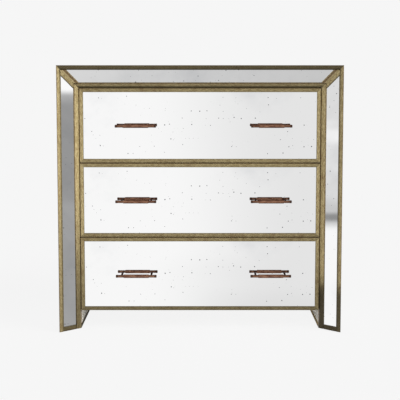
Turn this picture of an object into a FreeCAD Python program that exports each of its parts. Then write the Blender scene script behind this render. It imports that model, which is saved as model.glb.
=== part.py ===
import FreeCAD, Part
import os
import Sketcher
from FreeCAD import Vector

# Mirrored chest of three drawers. A splayed frame of mirror strips and gilt mouldings runs up the
# legs and across the top, and the drawer fronts lie at its foot.
# Axes: x to the right, y to the back, z up. Origin: on the floor, in the middle of the footprint.

# Driving sizes in millimetres.
SIZES = {
    "overall_width": 965.2,
    "overall_height": 914.4,
    "overall_depth": 457.2,
    "side_splay_width": 67.2,  # of each side splay, seen from the front
    "top_splay_height": 76.5,  # of the top splay, seen from the front
    "splay_depth": 55.0,  # from the foremost edge back to the opening
    "leg_clearance": 65.3,  # free height under the drawers
    "lip_width": 2.0,  # flat nose along the foremost edge
    "moulding_skin": 6.0,  # mouldings on the side faces, over the boards
    "pane_thickness": 3.0,
    "splay_skin": 7.8,  # mouldings on the splays, measured front to back
    "splay_pane": 3.9,  # mirror strips on the splays, measured front to back
    "outer_moulding_width": 13.6,
    "inner_moulding_width": 14.3,
    "return_width": 20.0,  # mouldings round the side and top faces
    "valley_moulding_width": 23.0,
    "foot_strip_height": 15.0,
    "foot_edging_height": 12.0,
    "foot_edging_thickness": 1.5,
    "crown_rise": 0.9,
    "edge_radius": 1.2,
    "outer_board_thickness": 15.0,
    "inner_board_thickness": 12.0,
    "splay_board_thickness": 15.6,  # measured front to back
    "batten_height": 30.0,
    "top_batten_width": 40.0,
    "top_batten_spacing": 250.0,
    "leg_base_thickness": 18.0,
    "back_panel_thickness": 6.0,
    "back_panel_inset": 3.0,
    "bottom_board_thickness": 15.0,
    "bottom_board_rise": 2.0,
    "rail_depth": 60.0,
    "rail_thickness": 15.0,
    "glide_height": 1.5,
    "glide_diameter": 20.0,
    "glide_front_setback": 20.0,  # glide's centre behind the splay's foot
    "glide_back_inset": 28.0,
    "drawer_count": 3,
    "front_gap": 2.0,  # beside and between the drawer fronts
    "front_top_gap": 0.8,
    "front_board_thickness": 18.0,
    "front_moulding_width": 13.5,
    "front_moulding_thickness": 6.0,
    "box_rise": 25.0,  # drawer box above the front's lower edge
    "box_drop": 51.0,  # drawer box below the front's upper edge
    "box_back_clearance": 22.2,
    "box_board_thickness": 12.0,
    "box_bottom_thickness": 6.0,
    "groove_rise": 12.0,
    "groove_depth": 6.0,
    "groove_clearance": 0.5,
    "slide_space": 12.7,
    "slide_setback": 5.0,
    "slide_back_clearance": 17.2,
    "slide_height": 45.0,
    "slide_steel": 1.2,
    "slide_clearance": 0.3,
    "ball_race_thickness": 3.2,
    "case_member_depth": 9.5,
    "middle_member_offset": 3.0,  # from the case wall
    "middle_member_depth": 7.5,
    "drawer_member_depth": 7.7,
    "left_pull_offset": 219.0,  # from the chest's middle to the pull's
    "right_pull_offset": 243.0,
    "pull_projection": 38.0,
    "pull_length": 139.7,
    "pull_post_spacing": 101.6,
    "pull_bar_diameter": 9.0,
    "pull_sleeve_diameter": 12.0,
    "pull_sleeve_length": 85.0,
    "pull_cap_diameter": 10.0,
    "pull_cap_length": 7.0,
    "pull_post_diameter": 6.5,
    "pull_bevel": 0.8,
    "saw_margin": 40.0,  # how far the outlines of sawn-off waste run past a piece
}

# Sizes that follow from the driving ones. The splays are described by two distances: inward from
# the outer face, and back from the foremost plane. Heights in the top wall are the side wall's
# inward distances times top_ratio, so that both meet on one mitre plane.
FITS = {
    "half_width": "Sizes.overall_width / 2",
    "front": "-Sizes.overall_depth / 2",
    "back": "Sizes.overall_depth / 2",
    "top_ratio": "Sizes.top_splay_height / Sizes.side_splay_width",
    "splay_ratio": "Sizes.splay_depth / (Sizes.side_splay_width - Sizes.lip_width)",
    "opening_half": "half_width - Sizes.side_splay_width",
    "opening_front": "front + Sizes.splay_depth",
    "opening_top": "Sizes.overall_height - Sizes.top_splay_height",
    "back_inside": "back - Sizes.back_panel_inset - Sizes.back_panel_thickness",
    "outer_inside": "Sizes.moulding_skin + Sizes.outer_board_thickness",
    "inner_outside": "Sizes.side_splay_width - Sizes.inner_board_thickness",
    "inner_moulding_start": "Sizes.side_splay_width - Sizes.inner_moulding_width",
    "board_back": "Sizes.splay_skin + Sizes.splay_board_thickness",
    "leg_height": "Sizes.overall_height - Sizes.glide_height",
    "top_skin": "Sizes.moulding_skin * top_ratio",
    "mitre_length": "sqrt(Sizes.side_splay_width ^ 2 + Sizes.top_splay_height ^ 2)",
    "valley_drop": "Sizes.valley_moulding_width / 2 * mitre_length / Sizes.side_splay_width",
    "valley_shift": "Sizes.valley_moulding_width / 2 * mitre_length / Sizes.top_splay_height",
    "return_front": "front + Sizes.return_width",
    "return_back": "back - Sizes.return_width",
    "return_foot": "Sizes.glide_height + Sizes.return_width",
    "return_top": "Sizes.overall_height - Sizes.return_width",
    "opening_height": "opening_top - Sizes.leg_clearance",
    "front_height": "(opening_height + Sizes.front_gap - Sizes.front_top_gap) / Sizes.drawer_count"
                    " - Sizes.front_gap",
    "drawer_pitch": "front_height + Sizes.front_gap",
    "front_half": "opening_half - Sizes.front_gap",
    "front_board_front": "opening_front + Sizes.pane_thickness",
    "front_board_back": "front_board_front + Sizes.front_board_thickness",
    "rail_front": "front_board_back + Sizes.front_gap",
    "box_half": "opening_half - Sizes.slide_space",
    "box_inside": "box_half - Sizes.box_board_thickness",
    "box_back": "back_inside - Sizes.box_back_clearance",
    "box_top": "front_height - Sizes.box_drop",
    "slide_front": "front_board_back + Sizes.slide_setback",
    "slide_length": "back_inside - Sizes.slide_back_clearance - slide_front",
    "slide_middle": "(Sizes.box_rise + box_top) / 2",
}

DRAWERS = ("bottom_drawer", "middle_drawer", "top_drawer")
SIDE_SIGN = {"left": -1, "right": 1}
PLANE_ROLE = {"plan": "XY_Plane", "front": "XZ_Plane", "side": "YZ_Plane"}
TOLERANCE = 0.001

document = FreeCAD.newDocument("mirrored_chest")


def fill_sheet(name, rows, prefix=""):
    """Spreadsheet with one aliased cell for each row."""
    sheet = document.addObject("Spreadsheet::Sheet", name)
    for row, (alias, content) in enumerate(rows.items(), 1):
        sheet.set(f"A{row}", alias)
        sheet.set(f"B{row}", f"{prefix}{content}")
        sheet.setAlias(f"B{row}", alias)
    return sheet


sizes = fill_sheet("Sizes", SIZES)
fits = fill_sheet("Fits", FITS, prefix="=")
document.recompute()
parts = []


def value(expression):
    """Number that an expression over the two sheets gives."""
    return float(sizes.evalExpression(expression))


def name_part(shape_object, label):
    """Takes an object into the list of sub-parts under its own name."""
    shape_object.Label = label
    parts.append(shape_object)
    return shape_object


def group(label, pieces):
    """Sub-part made of several separate solids."""
    compound = document.addObject("Part::Compound", label)
    compound.Links = pieces
    return name_part(compound, label)


def board(label, low, high):
    """Rectangular board between two corners, each three expressions."""
    box = document.addObject("Part::Box", label)
    for side, axis, start, end in zip(("Length", "Width", "Height"), "xyz", low, high):
        box.setExpression(side, f"({end}) - ({start})")
        box.setExpression(f"Placement.Base.{axis}", start)
    return box


def turning(points):
    """+1 where an outline runs anticlockwise, -1 where it runs clockwise."""
    pairs = zip(points, points[1:] + points[:1])
    area = sum(a.x * b.y - b.x * a.y for a, b in pairs)
    return 1 if area > 0 else -1


def tie_point(sketch, geometry, point, u, v):
    """Ties an edge's start (1), end (2) or centre (3) to the origin by two expressions."""
    for kind, expression in (("DistanceX", u), ("DistanceY", v)):
        constraint = Sketcher.Constraint(kind, -1, 1, geometry, point, value(expression))
        index = sketch.addConstraint(constraint)
        sketch.setExpression(f"Constraints[{index}]", expression)


def add_outline(sketch, corners):
    """Closed outline through corners (u, v), or (u, v, rise) where the next edge is crowned."""
    points = [Vector(value(corner[0]), value(corner[1]), 0) for corner in corners]
    outward = -turning(points)
    first = sketch.GeometryCount
    for index, corner in enumerate(corners):
        start, end = points[index], points[(index + 1) % len(points)]
        if len(corner) == 3:
            along = (end - start).normalize()
            middle = (start + end) / 2 + Vector(-along.y, along.x, 0) * outward * value(corner[2])
            sketch.addGeometry(Part.Arc(start, middle, end), False)
        else:
            sketch.addGeometry(Part.LineSegment(start, end), False)
    tie_outline(sketch, corners, points, first)


def tie_outline(sketch, corners, points, first):
    """Joins the edges end to end and ties every corner and crown to its expressions."""
    count = len(corners)
    for index, corner in enumerate(corners):
        following = (index + 1) % count
        starts = [start_end(sketch, first + index), start_end(sketch, first + following)]
        forward, next_forward = [
            same_point(start, points[place]) for start, place in zip(starts, (index, following))
        ]
        sketch.addConstraint(Sketcher.Constraint(
            "Coincident", first + index, 2 if forward else 1,
            first + following, 1 if next_forward else 2,
        ))
    for index, corner in enumerate(corners):
        if len(corner) == 2:
            tie_point(sketch, first + index, 1, corner[0], corner[1])
            continue
        following = corners[(index + 1) % count]
        chord = f"sqrt(({following[0]} - ({corner[0]})) ^ 2 + ({following[1]} - ({corner[1]})) ^ 2)"
        radius = f"({chord}) ^ 2 / (8 * {corner[2]}) + {corner[2]} / 2"
        constraint = Sketcher.Constraint("Radius", first + index, value(radius))
        sketch.setExpression(f"Constraints[{sketch.addConstraint(constraint)}]", radius)
        before = first + (index - 1) % count
        end = 1 if same_point(start_end(sketch, before), points[index]) else 2
        tie_point(sketch, before, end, corner[0], corner[1])


def start_end(sketch, geometry):
    """Start point of a line or arc as the sketch stores it."""
    return sketch.getPoint(geometry, 1)


def same_point(first, second):
    """True where two points coincide."""
    return (first - second).Length < TOLERANCE


def sketch_on(body, view, outlines=(), circles=(), place="0"):
    """Sketch in plan (u = x, v = y), from the front (x, z) or from the side (y, z)."""
    sketch = body.newObject("Sketcher::SketchObject", f"{view}_outline")
    origin_features = body.Origin.OriginFeatures
    plane = next(item for item in origin_features if item.Role == PLANE_ROLE[view])
    sketch.AttachmentSupport = (plane, [""])
    sketch.MapMode = "FlatFace"
    sign = "-" if view == "front" else ""
    sketch.setExpression("AttachmentOffset.Base.z", f"{sign}({place})")
    for outline in outlines:
        add_outline(sketch, outline)
    for u, v, diameter in circles:
        add_circle(sketch, u, v, diameter)
    return sketch


def add_circle(sketch, u, v, diameter):
    """Circle with its centre and diameter tied to expressions."""
    centre = Vector(value(u), value(v), 0)
    circle = Part.Circle(centre, Vector(0, 0, 1), value(diameter) / 2)
    geometry = sketch.addGeometry(circle, False)
    tie_point(sketch, geometry, 3, u, v)
    index = sketch.addConstraint(Sketcher.Constraint("Diameter", geometry, value(diameter)))
    sketch.setExpression(f"Constraints[{index}]", diameter)


def add_pad(body, sketch, length, toward_back=False):
    """Raises a sketch along x or z, or along y where it is drawn from the front."""
    pad = body.newObject("PartDesign::Pad", "run")
    pad.Profile = sketch
    pad.Reversed = toward_back
    pad.setExpression("Length", length)
    return pad


def stick(label, view, section, start, length):
    """Straight piece of one section, which runs along the axis that its view looks along."""
    body = document.addObject("PartDesign::Body", label)
    sketch = sketch_on(body, view, [section], place=start)
    add_pad(body, sketch, length, toward_back=view == "front")
    document.recompute()
    return body


def cut_through(body, view, outlines):
    """Cuts outlines right through a body, and makes sure that they bite."""
    before = body.Shape.Volume
    pocket = body.newObject("PartDesign::Pocket", "cut")
    pocket.Profile = sketch_on(body, view, outlines)
    pocket.Type = "ThroughAll"
    pocket.SideType = "Symmetric"
    document.recompute()
    if body.Shape.Volume > before - TOLERANCE:
        raise RuntimeError(f"{body.Name}: a cut removed nothing")


def round_edges(body, view, corners):
    """Rounds the long edges that pass through corners of a stick's section."""
    base = body.Tip
    picked = []
    for number, edge in enumerate(base.Shape.Edges, 1):
        ends = [seen(vertex.Point, view) for vertex in edge.Vertexes]
        for corner in corners:
            point = Vector(value(corner[0]), value(corner[1]), 0)
            if len(ends) == 2 and all(same_point(end, point) for end in ends):
                picked.append(f"Edge{number}")
    if len(picked) < len(corners):
        raise RuntimeError(f"{body.Name}: an edge to round is missing")
    fillet = body.newObject("PartDesign::Fillet", "rounding")
    fillet.Base = (base, picked)
    fillet.setExpression("Radius", "Sizes.edge_radius")
    document.recompute()


def seen(point, view):
    """Point as a view shows it."""
    return {
        "plan": Vector(point.x, point.y, 0),
        "front": Vector(point.x, point.z, 0),
        "side": Vector(point.y, point.z, 0),
    }[view]


def splay(inward, behind="0"):
    """Place in y, at a distance in from the outer face, of a line behind the splay's face."""
    return f"(Fits.front + Fits.splay_ratio * ({inward} - Sizes.lip_width) + {behind})"


def side_x(wall, inward):
    """Place in x of a distance inward from a side wall's outer face."""
    return f"{SIDE_SIGN[wall]} * (Fits.half_width - ({inward}))"


def wall_section(wall, corners):
    """Section of a wall from corners (inward, y), or with a crown's rise as the third."""
    section = []
    for inward, back, *rise in corners:
        if wall == "top":
            height = f"(Sizes.overall_height - Fits.top_ratio * ({inward}))"
            section.append((back, height, *rise))
        else:
            section.append((side_x(wall, inward), back, *rise))
    return section


def mitre_waste(corner, inward, run, along):
    """What a mitre saws off a stick along u or v, beyond the line from corner by inward * run."""
    (u, v), (sign_u, sign_v), (run_u, run_v) = corner, inward, run
    end_u = f"{u} + {sign_u} * ({run_u})"
    end_v = f"{v} + {sign_v} * ({run_v})"
    if along == "v":
        past_u = f"{end_u} + {sign_u} * Sizes.saw_margin"
        past_v = f"{v} - {sign_v} * Sizes.saw_margin"
        return [(u, v), (end_u, end_v), (past_u, end_v), (past_u, past_v), (u, past_v)]
    past_u = f"{u} - {sign_u} * Sizes.saw_margin"
    past_v = f"{end_v} + {sign_v} * Sizes.saw_margin"
    return [(u, v), (end_u, end_v), (end_u, past_v), (past_u, past_v), (past_u, v)]


def corner_mitre(side, along, drop="0", shift="0"):
    """Waste beyond the mitre, seen from the front, where a side wall meets the top wall."""
    corner = (side_x(side, shift), f"Sizes.overall_height - ({drop})")
    run = ("Sizes.side_splay_width", "Sizes.top_splay_height")
    return mitre_waste(corner, (-SIDE_SIGN[side], -1), run, along)


def wall_piece(label, wall, corners, foot="Sizes.glide_height", drop="0", shift="0"):
    """Piece that runs the length of a wall and is mitred where the walls meet."""
    section = wall_section(wall, corners)
    if wall == "top":
        piece = stick(label, "side", section, "-Fits.half_width", "Sizes.overall_width")
        for side in SIDE_SIGN:
            cut_through(piece, "front", [corner_mitre(side, "u", shift=shift)])
    else:
        piece = stick(label, "plan", section, foot, f"Sizes.overall_height - {foot}")
        cut_through(piece, "front", [corner_mitre(wall, "v", drop=drop)])
    return piece


def splay_layer(start, end, near, far):
    """Section between two distances inward and two depths behind the splay's face."""
    return [
        (start, splay(start, near)),
        (end, splay(end, near)),
        (end, splay(end, far)),
        (start, splay(start, far)),
    ]


# ---- Boards of the case ----------------------------------------------------------------------


def make_case_boards(wall, outer_label, inner_label, splay_label):
    """Outer board, inner board and the splayed board that joins them at the front."""
    skin, skin_depth = "Sizes.moulding_skin", "Sizes.splay_skin"
    outer = [
        (skin, splay(skin, skin_depth)),
        ("Fits.outer_inside", splay("Fits.outer_inside", skin_depth)),
        ("Fits.outer_inside", "Fits.back"),
        (skin, "Fits.back"),
    ]
    inner = [
        ("Fits.inner_outside", splay("Fits.inner_outside", "Fits.board_back")),
        ("Sizes.side_splay_width", splay("Sizes.side_splay_width", "Fits.board_back")),
        ("Sizes.side_splay_width", "Fits.back_inside"),
        ("Fits.inner_outside", "Fits.back_inside"),
    ]
    splayed = splay_layer("Fits.outer_inside", "Sizes.side_splay_width", skin_depth, "Fits.board_back")
    name_part(wall_piece(outer_label, wall, outer), outer_label)
    name_part(wall_piece(inner_label, wall, inner), inner_label)
    name_part(wall_piece(splay_label, wall, splayed), splay_label)


def make_side_battens(side):
    """Leg base and the battens behind the drawer slides, in the hollow of a side wall."""
    hollow = wall_section(side, [
        ("Fits.outer_inside", splay("Fits.outer_inside", "Fits.board_back")),
        ("Fits.inner_outside", splay("Fits.inner_outside", "Fits.board_back")),
        ("Fits.inner_outside", "Fits.back_inside"),
        ("Fits.outer_inside", "Fits.back_inside"),
    ])
    base = stick(f"{side}_leg_base", "plan", hollow, "Sizes.glide_height", "Sizes.leg_base_thickness")
    battens = [base]
    for index, drawer in enumerate(DRAWERS):
        height = f"{drawer_foot(index)} + Fits.slide_middle - Sizes.batten_height / 2"
        name = f"{side}_{drawer}_batten"
        battens.append(stick(name, "plan", hollow, height, "Sizes.batten_height"))
    group(f"{side}_wall_battens", battens)


def make_top_battens():
    """Battens from front to back between the top board and the ceiling board."""
    hollow = wall_section("top", [
        ("Fits.outer_inside", splay("Fits.outer_inside", "Fits.board_back")),
        ("Fits.inner_outside", splay("Fits.inner_outside", "Fits.board_back")),
        ("Fits.inner_outside", "Fits.back_inside"),
        ("Fits.outer_inside", "Fits.back_inside"),
    ])
    battens = []
    for name, step in (("left", -1), ("centre", 0), ("right", 1)):
        start = f"{step} * Sizes.top_batten_spacing - Sizes.top_batten_width / 2"
        battens.append(stick(f"{name}_top_batten", "side", hollow, start, "Sizes.top_batten_width"))
    group("top_battens", battens)


def make_back_panel():
    """Back panel with two legs, which closes the case and both hollow walls."""
    outside = "(Fits.half_width - Fits.outer_inside)"
    top = "Sizes.overall_height - Fits.top_ratio * Fits.outer_inside"
    edge = "Sizes.leg_clearance + Sizes.bottom_board_rise"
    outline = [
        (f"-{outside}", "Sizes.glide_height"),
        ("-Fits.opening_half", "Sizes.glide_height"),
        ("-Fits.opening_half", edge),
        ("Fits.opening_half", edge),
        ("Fits.opening_half", "Sizes.glide_height"),
        (outside, "Sizes.glide_height"),
        (outside, top),
        (f"-{outside}", top),
    ]
    panel = stick("back_panel", "front", outline, "Fits.back_inside", "Sizes.back_panel_thickness")
    name_part(panel, "back_panel")


def make_bottom_and_rails():
    """Bottom board and the rails hidden behind the gaps between the drawer fronts."""
    low = "Sizes.leg_clearance + Sizes.bottom_board_rise"
    bottom = board(
        "bottom_board",
        ("-Fits.opening_half", "Fits.rail_front", low),
        ("Fits.opening_half", "Fits.back_inside", f"{low} + Sizes.bottom_board_thickness"),
    )
    name_part(bottom, "bottom_board")
    rails = []
    for index, drawer in enumerate(DRAWERS[1:], 1):
        middle = f"{drawer_foot(index)} - Sizes.front_gap / 2"
        rails.append(board(
            f"rail_under_{drawer}",
            ("-Fits.opening_half", "Fits.rail_front", f"{middle} - Sizes.rail_thickness / 2"),
            (
                "Fits.opening_half",
                "Fits.rail_front + Sizes.rail_depth",
                f"{middle} + Sizes.rail_thickness / 2",
            ),
        ))
    group("divider_rails", rails)


def make_floor_glides():
    """Tapered glides under the leg bases."""
    middle = "(Fits.outer_inside + Fits.inner_outside) / 2"
    places = {
        "front": "Fits.opening_front + Sizes.glide_front_setback",
        "back": "Fits.back - Sizes.glide_back_inset",
    }
    glides = []
    for side in SIDE_SIGN:
        for end, place in places.items():
            glide = document.addObject("Part::Cone", f"{side}_{end}_glide")
            glide.setExpression("Radius1", "Sizes.glide_diameter / 2 - Sizes.glide_height / 2")
            glide.setExpression("Radius2", "Sizes.glide_diameter / 2")
            glide.setExpression("Height", "Sizes.glide_height")
            glide.setExpression("Placement.Base.x", side_x(side, middle))
            glide.setExpression("Placement.Base.y", place)
            glides.append(glide)
    group("floor_glides", glides)


# ---- Splayed frame: mirror strips and mouldings ----------------------------------------------


def make_front_moulding():
    """Nose moulding of V section, mitred up the legs and across the top."""
    inner = "Sizes.outer_moulding_width"
    skin = "Sizes.moulding_skin"
    corners = [
        ("0", "Fits.front"),
        ("Sizes.lip_width", "Fits.front", "Sizes.crown_rise"),
        (inner, splay(inner)),
        (inner, splay(inner, "Sizes.splay_skin")),
        (skin, splay(skin, "Sizes.splay_skin")),
        (skin, "Fits.return_front"),
        ("0", "Fits.return_front"),
    ]
    sticks = []
    for wall in ("left", "right", "top"):
        piece = wall_piece(f"{wall}_front_moulding", wall, corners)
        view = "side" if wall == "top" else "plan"
        section = wall_section(wall, corners)
        round_edges(piece, view, [section[0], section[2], section[6]])
        sticks.append(piece)
    group("front_moulding", sticks)


def make_inner_moulding():
    """Moulding round the opening, at the foot of the splays."""
    corners = splay_layer("Fits.inner_moulding_start", "Sizes.side_splay_width", "0", "Sizes.splay_skin")
    corners[0] = (*corners[0], "Sizes.crown_rise")
    sticks = []
    for wall in ("left", "right", "top"):
        piece = wall_piece(f"{wall}_inner_moulding", wall, corners)
        view = "side" if wall == "top" else "plan"
        round_edges(piece, view, wall_section(wall, corners)[:2])
        sticks.append(piece)
    group("inner_moulding", sticks)


def make_splay_mirrors():
    """Mirror strip of each splay, between its mouldings."""
    start, end = "Sizes.outer_moulding_width", "Fits.inner_moulding_start"
    near = "Sizes.splay_skin - Sizes.splay_pane"
    corners = splay_layer(start, end, near, "Sizes.splay_skin")
    foot = "Sizes.glide_height + Sizes.foot_strip_height"
    for wall in ("left", "right", "top"):
        label = f"{wall}_splay_mirror"
        piece = wall_piece(label, wall, corners, foot=f"({foot})",
                           drop="Fits.valley_drop", shift="Fits.valley_shift")
        name_part(piece, label)


def make_valley_mouldings():
    """Flat bars that bridge the valleys where the side splays meet the top splay."""
    side_width, top_height = value("Sizes.side_splay_width"), value("Sizes.top_splay_height")
    half_width, height = value("Fits.half_width"), value("Sizes.overall_height")
    front, ratio = value("Fits.front"), value("Fits.splay_ratio")
    top_ratio, lip = value("Fits.top_ratio"), value("Sizes.lip_width")
    half_bar = value("Sizes.valley_moulding_width") / 2
    saw_margin = value("Sizes.saw_margin")
    saw_depth = value("Sizes.splay_depth + 2 * Sizes.saw_margin")
    skin = Vector(0, value("Sizes.splay_skin"), 0)
    outer, inner = value("Sizes.outer_moulding_width"), value("Fits.inner_moulding_start")
    across = Vector(top_height, 0, -side_width).normalize() * half_bar
    bars = []
    for side, sign in SIDE_SIGN.items():
        def on_frame(inward, step):
            """Point on the splays, at a step across the valley line."""
            x = half_width - inward + step * across.x
            z = height - top_ratio * inward + step * across.z
            depth = min(half_width - x, (height - z) / top_ratio)
            return Vector(x, front + ratio * (depth - lip), z)

        start, run = on_frame(0, 0), on_frame(side_width, 0) - on_frame(0, 0)
        below, above = on_frame(0, 1), on_frame(0, -1)
        section = [below, above, above + skin, start + skin, below + skin, below]
        bar = Part.Face(Part.makePolygon(section)).extrude(run)
        beyond_outer = Part.makeBox(
            saw_margin, saw_depth, height,
            Vector(half_width - outer, front - saw_margin, 0),
        )
        above_outer = Part.makeBox(
            half_width + saw_margin, saw_depth, saw_margin,
            Vector(0, front - saw_margin, height - top_ratio * outer),
        )
        within_inner = Part.makeBox(
            half_width - inner, saw_depth, height - top_ratio * inner,
            Vector(0, front - saw_margin, 0),
        )
        bar = bar.cut(beyond_outer).cut(above_outer).cut(within_inner)
        if sign < 0:
            bar = bar.mirror(Vector(0, 0, 0), Vector(1, 0, 0))
        feature = document.addObject("Part::Feature", f"{side}_valley_moulding")
        feature.Shape = bar
        bars.append(feature)
    group("valley_mouldings", bars)


# ---- Side and top faces ----------------------------------------------------------------------


def make_side_face(side):
    """Mirror pane of a side face and the mouldings behind, below and above it."""
    inside, outside = side_x(side, "Sizes.moulding_skin"), side_x(side, "0")
    middle = side_x(side, "Sizes.moulding_skin - Sizes.pane_thickness")
    low, high = (inside, middle) if side == "right" else (middle, inside)
    label = f"{side}_side_mirror"
    name_part(board(
        label,
        (low, "Fits.return_front", "Fits.return_foot"),
        (high, "Fits.return_back", "Fits.return_top"),
    ), label)
    width = "Sizes.return_width"
    foot = ("Fits.back", "Sizes.glide_height")
    head = ("Fits.back", "Sizes.overall_height")
    bevel = corner_mitre(side, "v")
    length = "Fits.back - Fits.return_front"

    lower = stick(f"{side}_lower_moulding", "front", [
        (inside, "Sizes.glide_height"), (outside, "Sizes.glide_height"),
        (outside, "Fits.return_foot"), (inside, "Fits.return_foot"),
    ], "Fits.return_front", length)
    cut_through(lower, "side", [mitre_waste(foot, (-1, 1), (width, width), "u")])
    round_edges(lower, "front", [(outside, "Fits.return_foot")])

    upper = stick(f"{side}_upper_moulding", "front", [
        (inside, "Fits.return_top"), (outside, "Fits.return_top"),
        (outside, "Sizes.overall_height"), (inside, "Sizes.overall_height"),
    ], "Fits.return_front", length)
    cut_through(upper, "side", [mitre_waste(head, (-1, -1), (width, width), "u")])
    cut_through(upper, "front", [bevel])
    round_edges(upper, "front", [(outside, "Fits.return_top")])

    rear = stick(f"{side}_rear_moulding", "plan", [
        (inside, "Fits.return_back"), (outside, "Fits.return_back"),
        (outside, "Fits.back"), (inside, "Fits.back"),
    ], "Sizes.glide_height", "Fits.leg_height")
    cut_through(rear, "side", [
        mitre_waste(foot, (-1, 1), (width, width), "v"),
        mitre_waste(head, (-1, -1), (width, width), "v"),
    ])
    cut_through(rear, "front", [bevel])
    round_edges(rear, "plan", [(outside, "Fits.return_back"), (outside, "Fits.back")])
    group(f"{side}_side_moulding", [lower, upper, rear])


def make_top_face():
    """Mirror pane of the top and the mouldings beside and behind it."""
    board_top = "Sizes.overall_height - Fits.top_skin"
    pane_top = f"{board_top} + Sizes.pane_thickness"
    inner_half = "(Fits.half_width - Sizes.return_width)"
    name_part(board(
        "top_mirror",
        (f"-{inner_half}", "Fits.return_front", board_top),
        (inner_half, "Fits.return_back", pane_top),
    ), "top_mirror")
    width = "Sizes.return_width"
    sticks = []
    for side, sign in SIDE_SIGN.items():
        outside, inside = side_x(side, "0"), side_x(side, width)
        piece = stick(f"{side}_top_moulding", "front", [
            (inside, board_top), (outside, board_top),
            (outside, "Sizes.overall_height"), (inside, "Sizes.overall_height"),
        ], "Fits.return_front", "Fits.back - Fits.return_front")
        waste = mitre_waste((outside, "Fits.back"), (-sign, -1), (width, width), "v")
        cut_through(piece, "plan", [waste])
        cut_through(piece, "front", [corner_mitre(side, "u")])
        round_edges(piece, "front", [(inside, "Sizes.overall_height")])
        sticks.append(piece)
    rear = stick("rear_top_moulding", "side", [
        ("Fits.return_back", board_top), ("Fits.back", board_top),
        ("Fits.back", "Sizes.overall_height"), ("Fits.return_back", "Sizes.overall_height"),
    ], "-Fits.half_width", "Sizes.overall_width")
    for side, sign in SIDE_SIGN.items():
        corner = (side_x(side, "0"), "Fits.back")
        cut_through(rear, "plan", [mitre_waste(corner, (-sign, -1), (width, width), "u")])
        cut_through(rear, "front", [corner_mitre(side, "u")])
    round_edges(rear, "side", [
        ("Fits.return_back", "Sizes.overall_height"), ("Fits.back", "Sizes.overall_height"),
    ])
    group("top_moulding", sticks + [rear])


def make_foot_mouldings():
    """Strips across the foot of each side splay, and thin edging on the legs' inner faces."""
    corners = splay_layer("Sizes.outer_moulding_width", "Fits.inner_moulding_start", "0",
                          "Sizes.splay_skin")
    corners[0] = (*corners[0], "Sizes.crown_rise")
    strips = []
    for side in SIDE_SIGN:
        strips.append(stick(f"{side}_foot_strip", "plan", wall_section(side, corners),
                            "Sizes.glide_height", "Sizes.foot_strip_height"))
        face = side_x(side, "Sizes.side_splay_width")
        proud = side_x(side, "Sizes.side_splay_width + Sizes.foot_edging_thickness")
        low, high = (proud, face) if side == "right" else (face, proud)
        strips.append(board(
            f"{side}_foot_edging",
            (low, "Fits.opening_front", "Sizes.glide_height"),
            (high, "Fits.back_inside", "Sizes.glide_height + Sizes.foot_edging_height"),
        ))
    group("foot_mouldings", strips)


# ---- Drawer slides ---------------------------------------------------------------------------


def channel(side, back, facing, depth, half_height, flange):
    """C section of a slide member: its web at a distance from the case wall, and its mouth."""
    def place(distance):
        return side_x(side, f"Sizes.side_splay_width + {distance}")

    front = f"({back} {facing} {depth})"
    inner_web = f"({back} {facing} Sizes.slide_steel)"
    return [
        (place(back), f"-({half_height})"),
        (place(front), f"-({half_height})"),
        (place(front), f"-({half_height} - {flange})"),
        (place(inner_web), f"-({half_height} - {flange})"),
        (place(inner_web), f"({half_height} - {flange})"),
        (place(front), f"({half_height} - {flange})"),
        (place(front), f"({half_height})"),
        (place(back), f"({half_height})"),
    ]


CASE_HALF = "Sizes.slide_height / 2"
MIDDLE_HALF = f"({CASE_HALF} - Sizes.slide_steel - Sizes.slide_clearance)"
DRAWER_HALF = f"({MIDDLE_HALF} - Sizes.ball_race_thickness - Sizes.slide_clearance)"


def make_slide_member(name, side, section, start, length, index):
    """One slide member of a drawer, raised to the drawer's slide height."""
    member = stick(name, "front", section, start, length)
    member.setExpression("Placement.Base.z", f"{drawer_foot(index)} + Fits.slide_middle")
    return member


def make_case_slide_members():
    """Channels screwed to the case, one each side for every drawer."""
    members = []
    for index, drawer in enumerate(DRAWERS):
        for side in SIDE_SIGN:
            section = channel(side, "0", "+", "Sizes.case_member_depth", CASE_HALF,
                              "Sizes.slide_steel")
            members.append(make_slide_member(f"{side}_{drawer}_case_member", side, section,
                                             "Fits.slide_front", "Fits.slide_length", index))
    group("case_slide_members", members)


def make_moving_slide_members(index, drawer):
    """Middle members with their ball races, and the members screwed to the drawer box."""
    middle_members, drawer_members = [], []
    middle_length = "Fits.slide_length - 2 * Sizes.slide_setback"
    for side in SIDE_SIGN:
        section = channel(side, "Sizes.middle_member_offset", "+", "Sizes.middle_member_depth",
                          MIDDLE_HALF, "Sizes.ball_race_thickness")
        middle_members.append(make_slide_member(
            f"{side}_{drawer}_middle_member", side, section,
            "Fits.slide_front + Sizes.slide_setback", middle_length, index))
        section = channel(side, "Sizes.slide_space", "-", "Sizes.drawer_member_depth",
                          DRAWER_HALF, "Sizes.slide_steel")
        drawer_members.append(make_slide_member(
            f"{side}_{drawer}_drawer_member", side, section,
            "Fits.slide_front", "Fits.box_back - Fits.slide_front", index))
    group(f"{drawer}_middle_slides", middle_members)
    group(f"{drawer}_inner_slides", drawer_members)


# ---- Drawers ---------------------------------------------------------------------------------


def drawer_foot(index):
    """Height of a drawer front's lower edge, counted from the bottom drawer."""
    return f"(Sizes.leg_clearance + {index} * Fits.drawer_pitch)"


def lift(piece, index):
    """Raises a piece drawn from its drawer's lower edge to its place."""
    piece.setExpression("Placement.Base.z", drawer_foot(index))
    return piece


def rectangle(low_u, high_u, low_v, high_v):
    """Outline of a rectangle."""
    return [(low_u, low_v), (high_u, low_v), (high_u, high_v), (low_u, high_v)]


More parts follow.
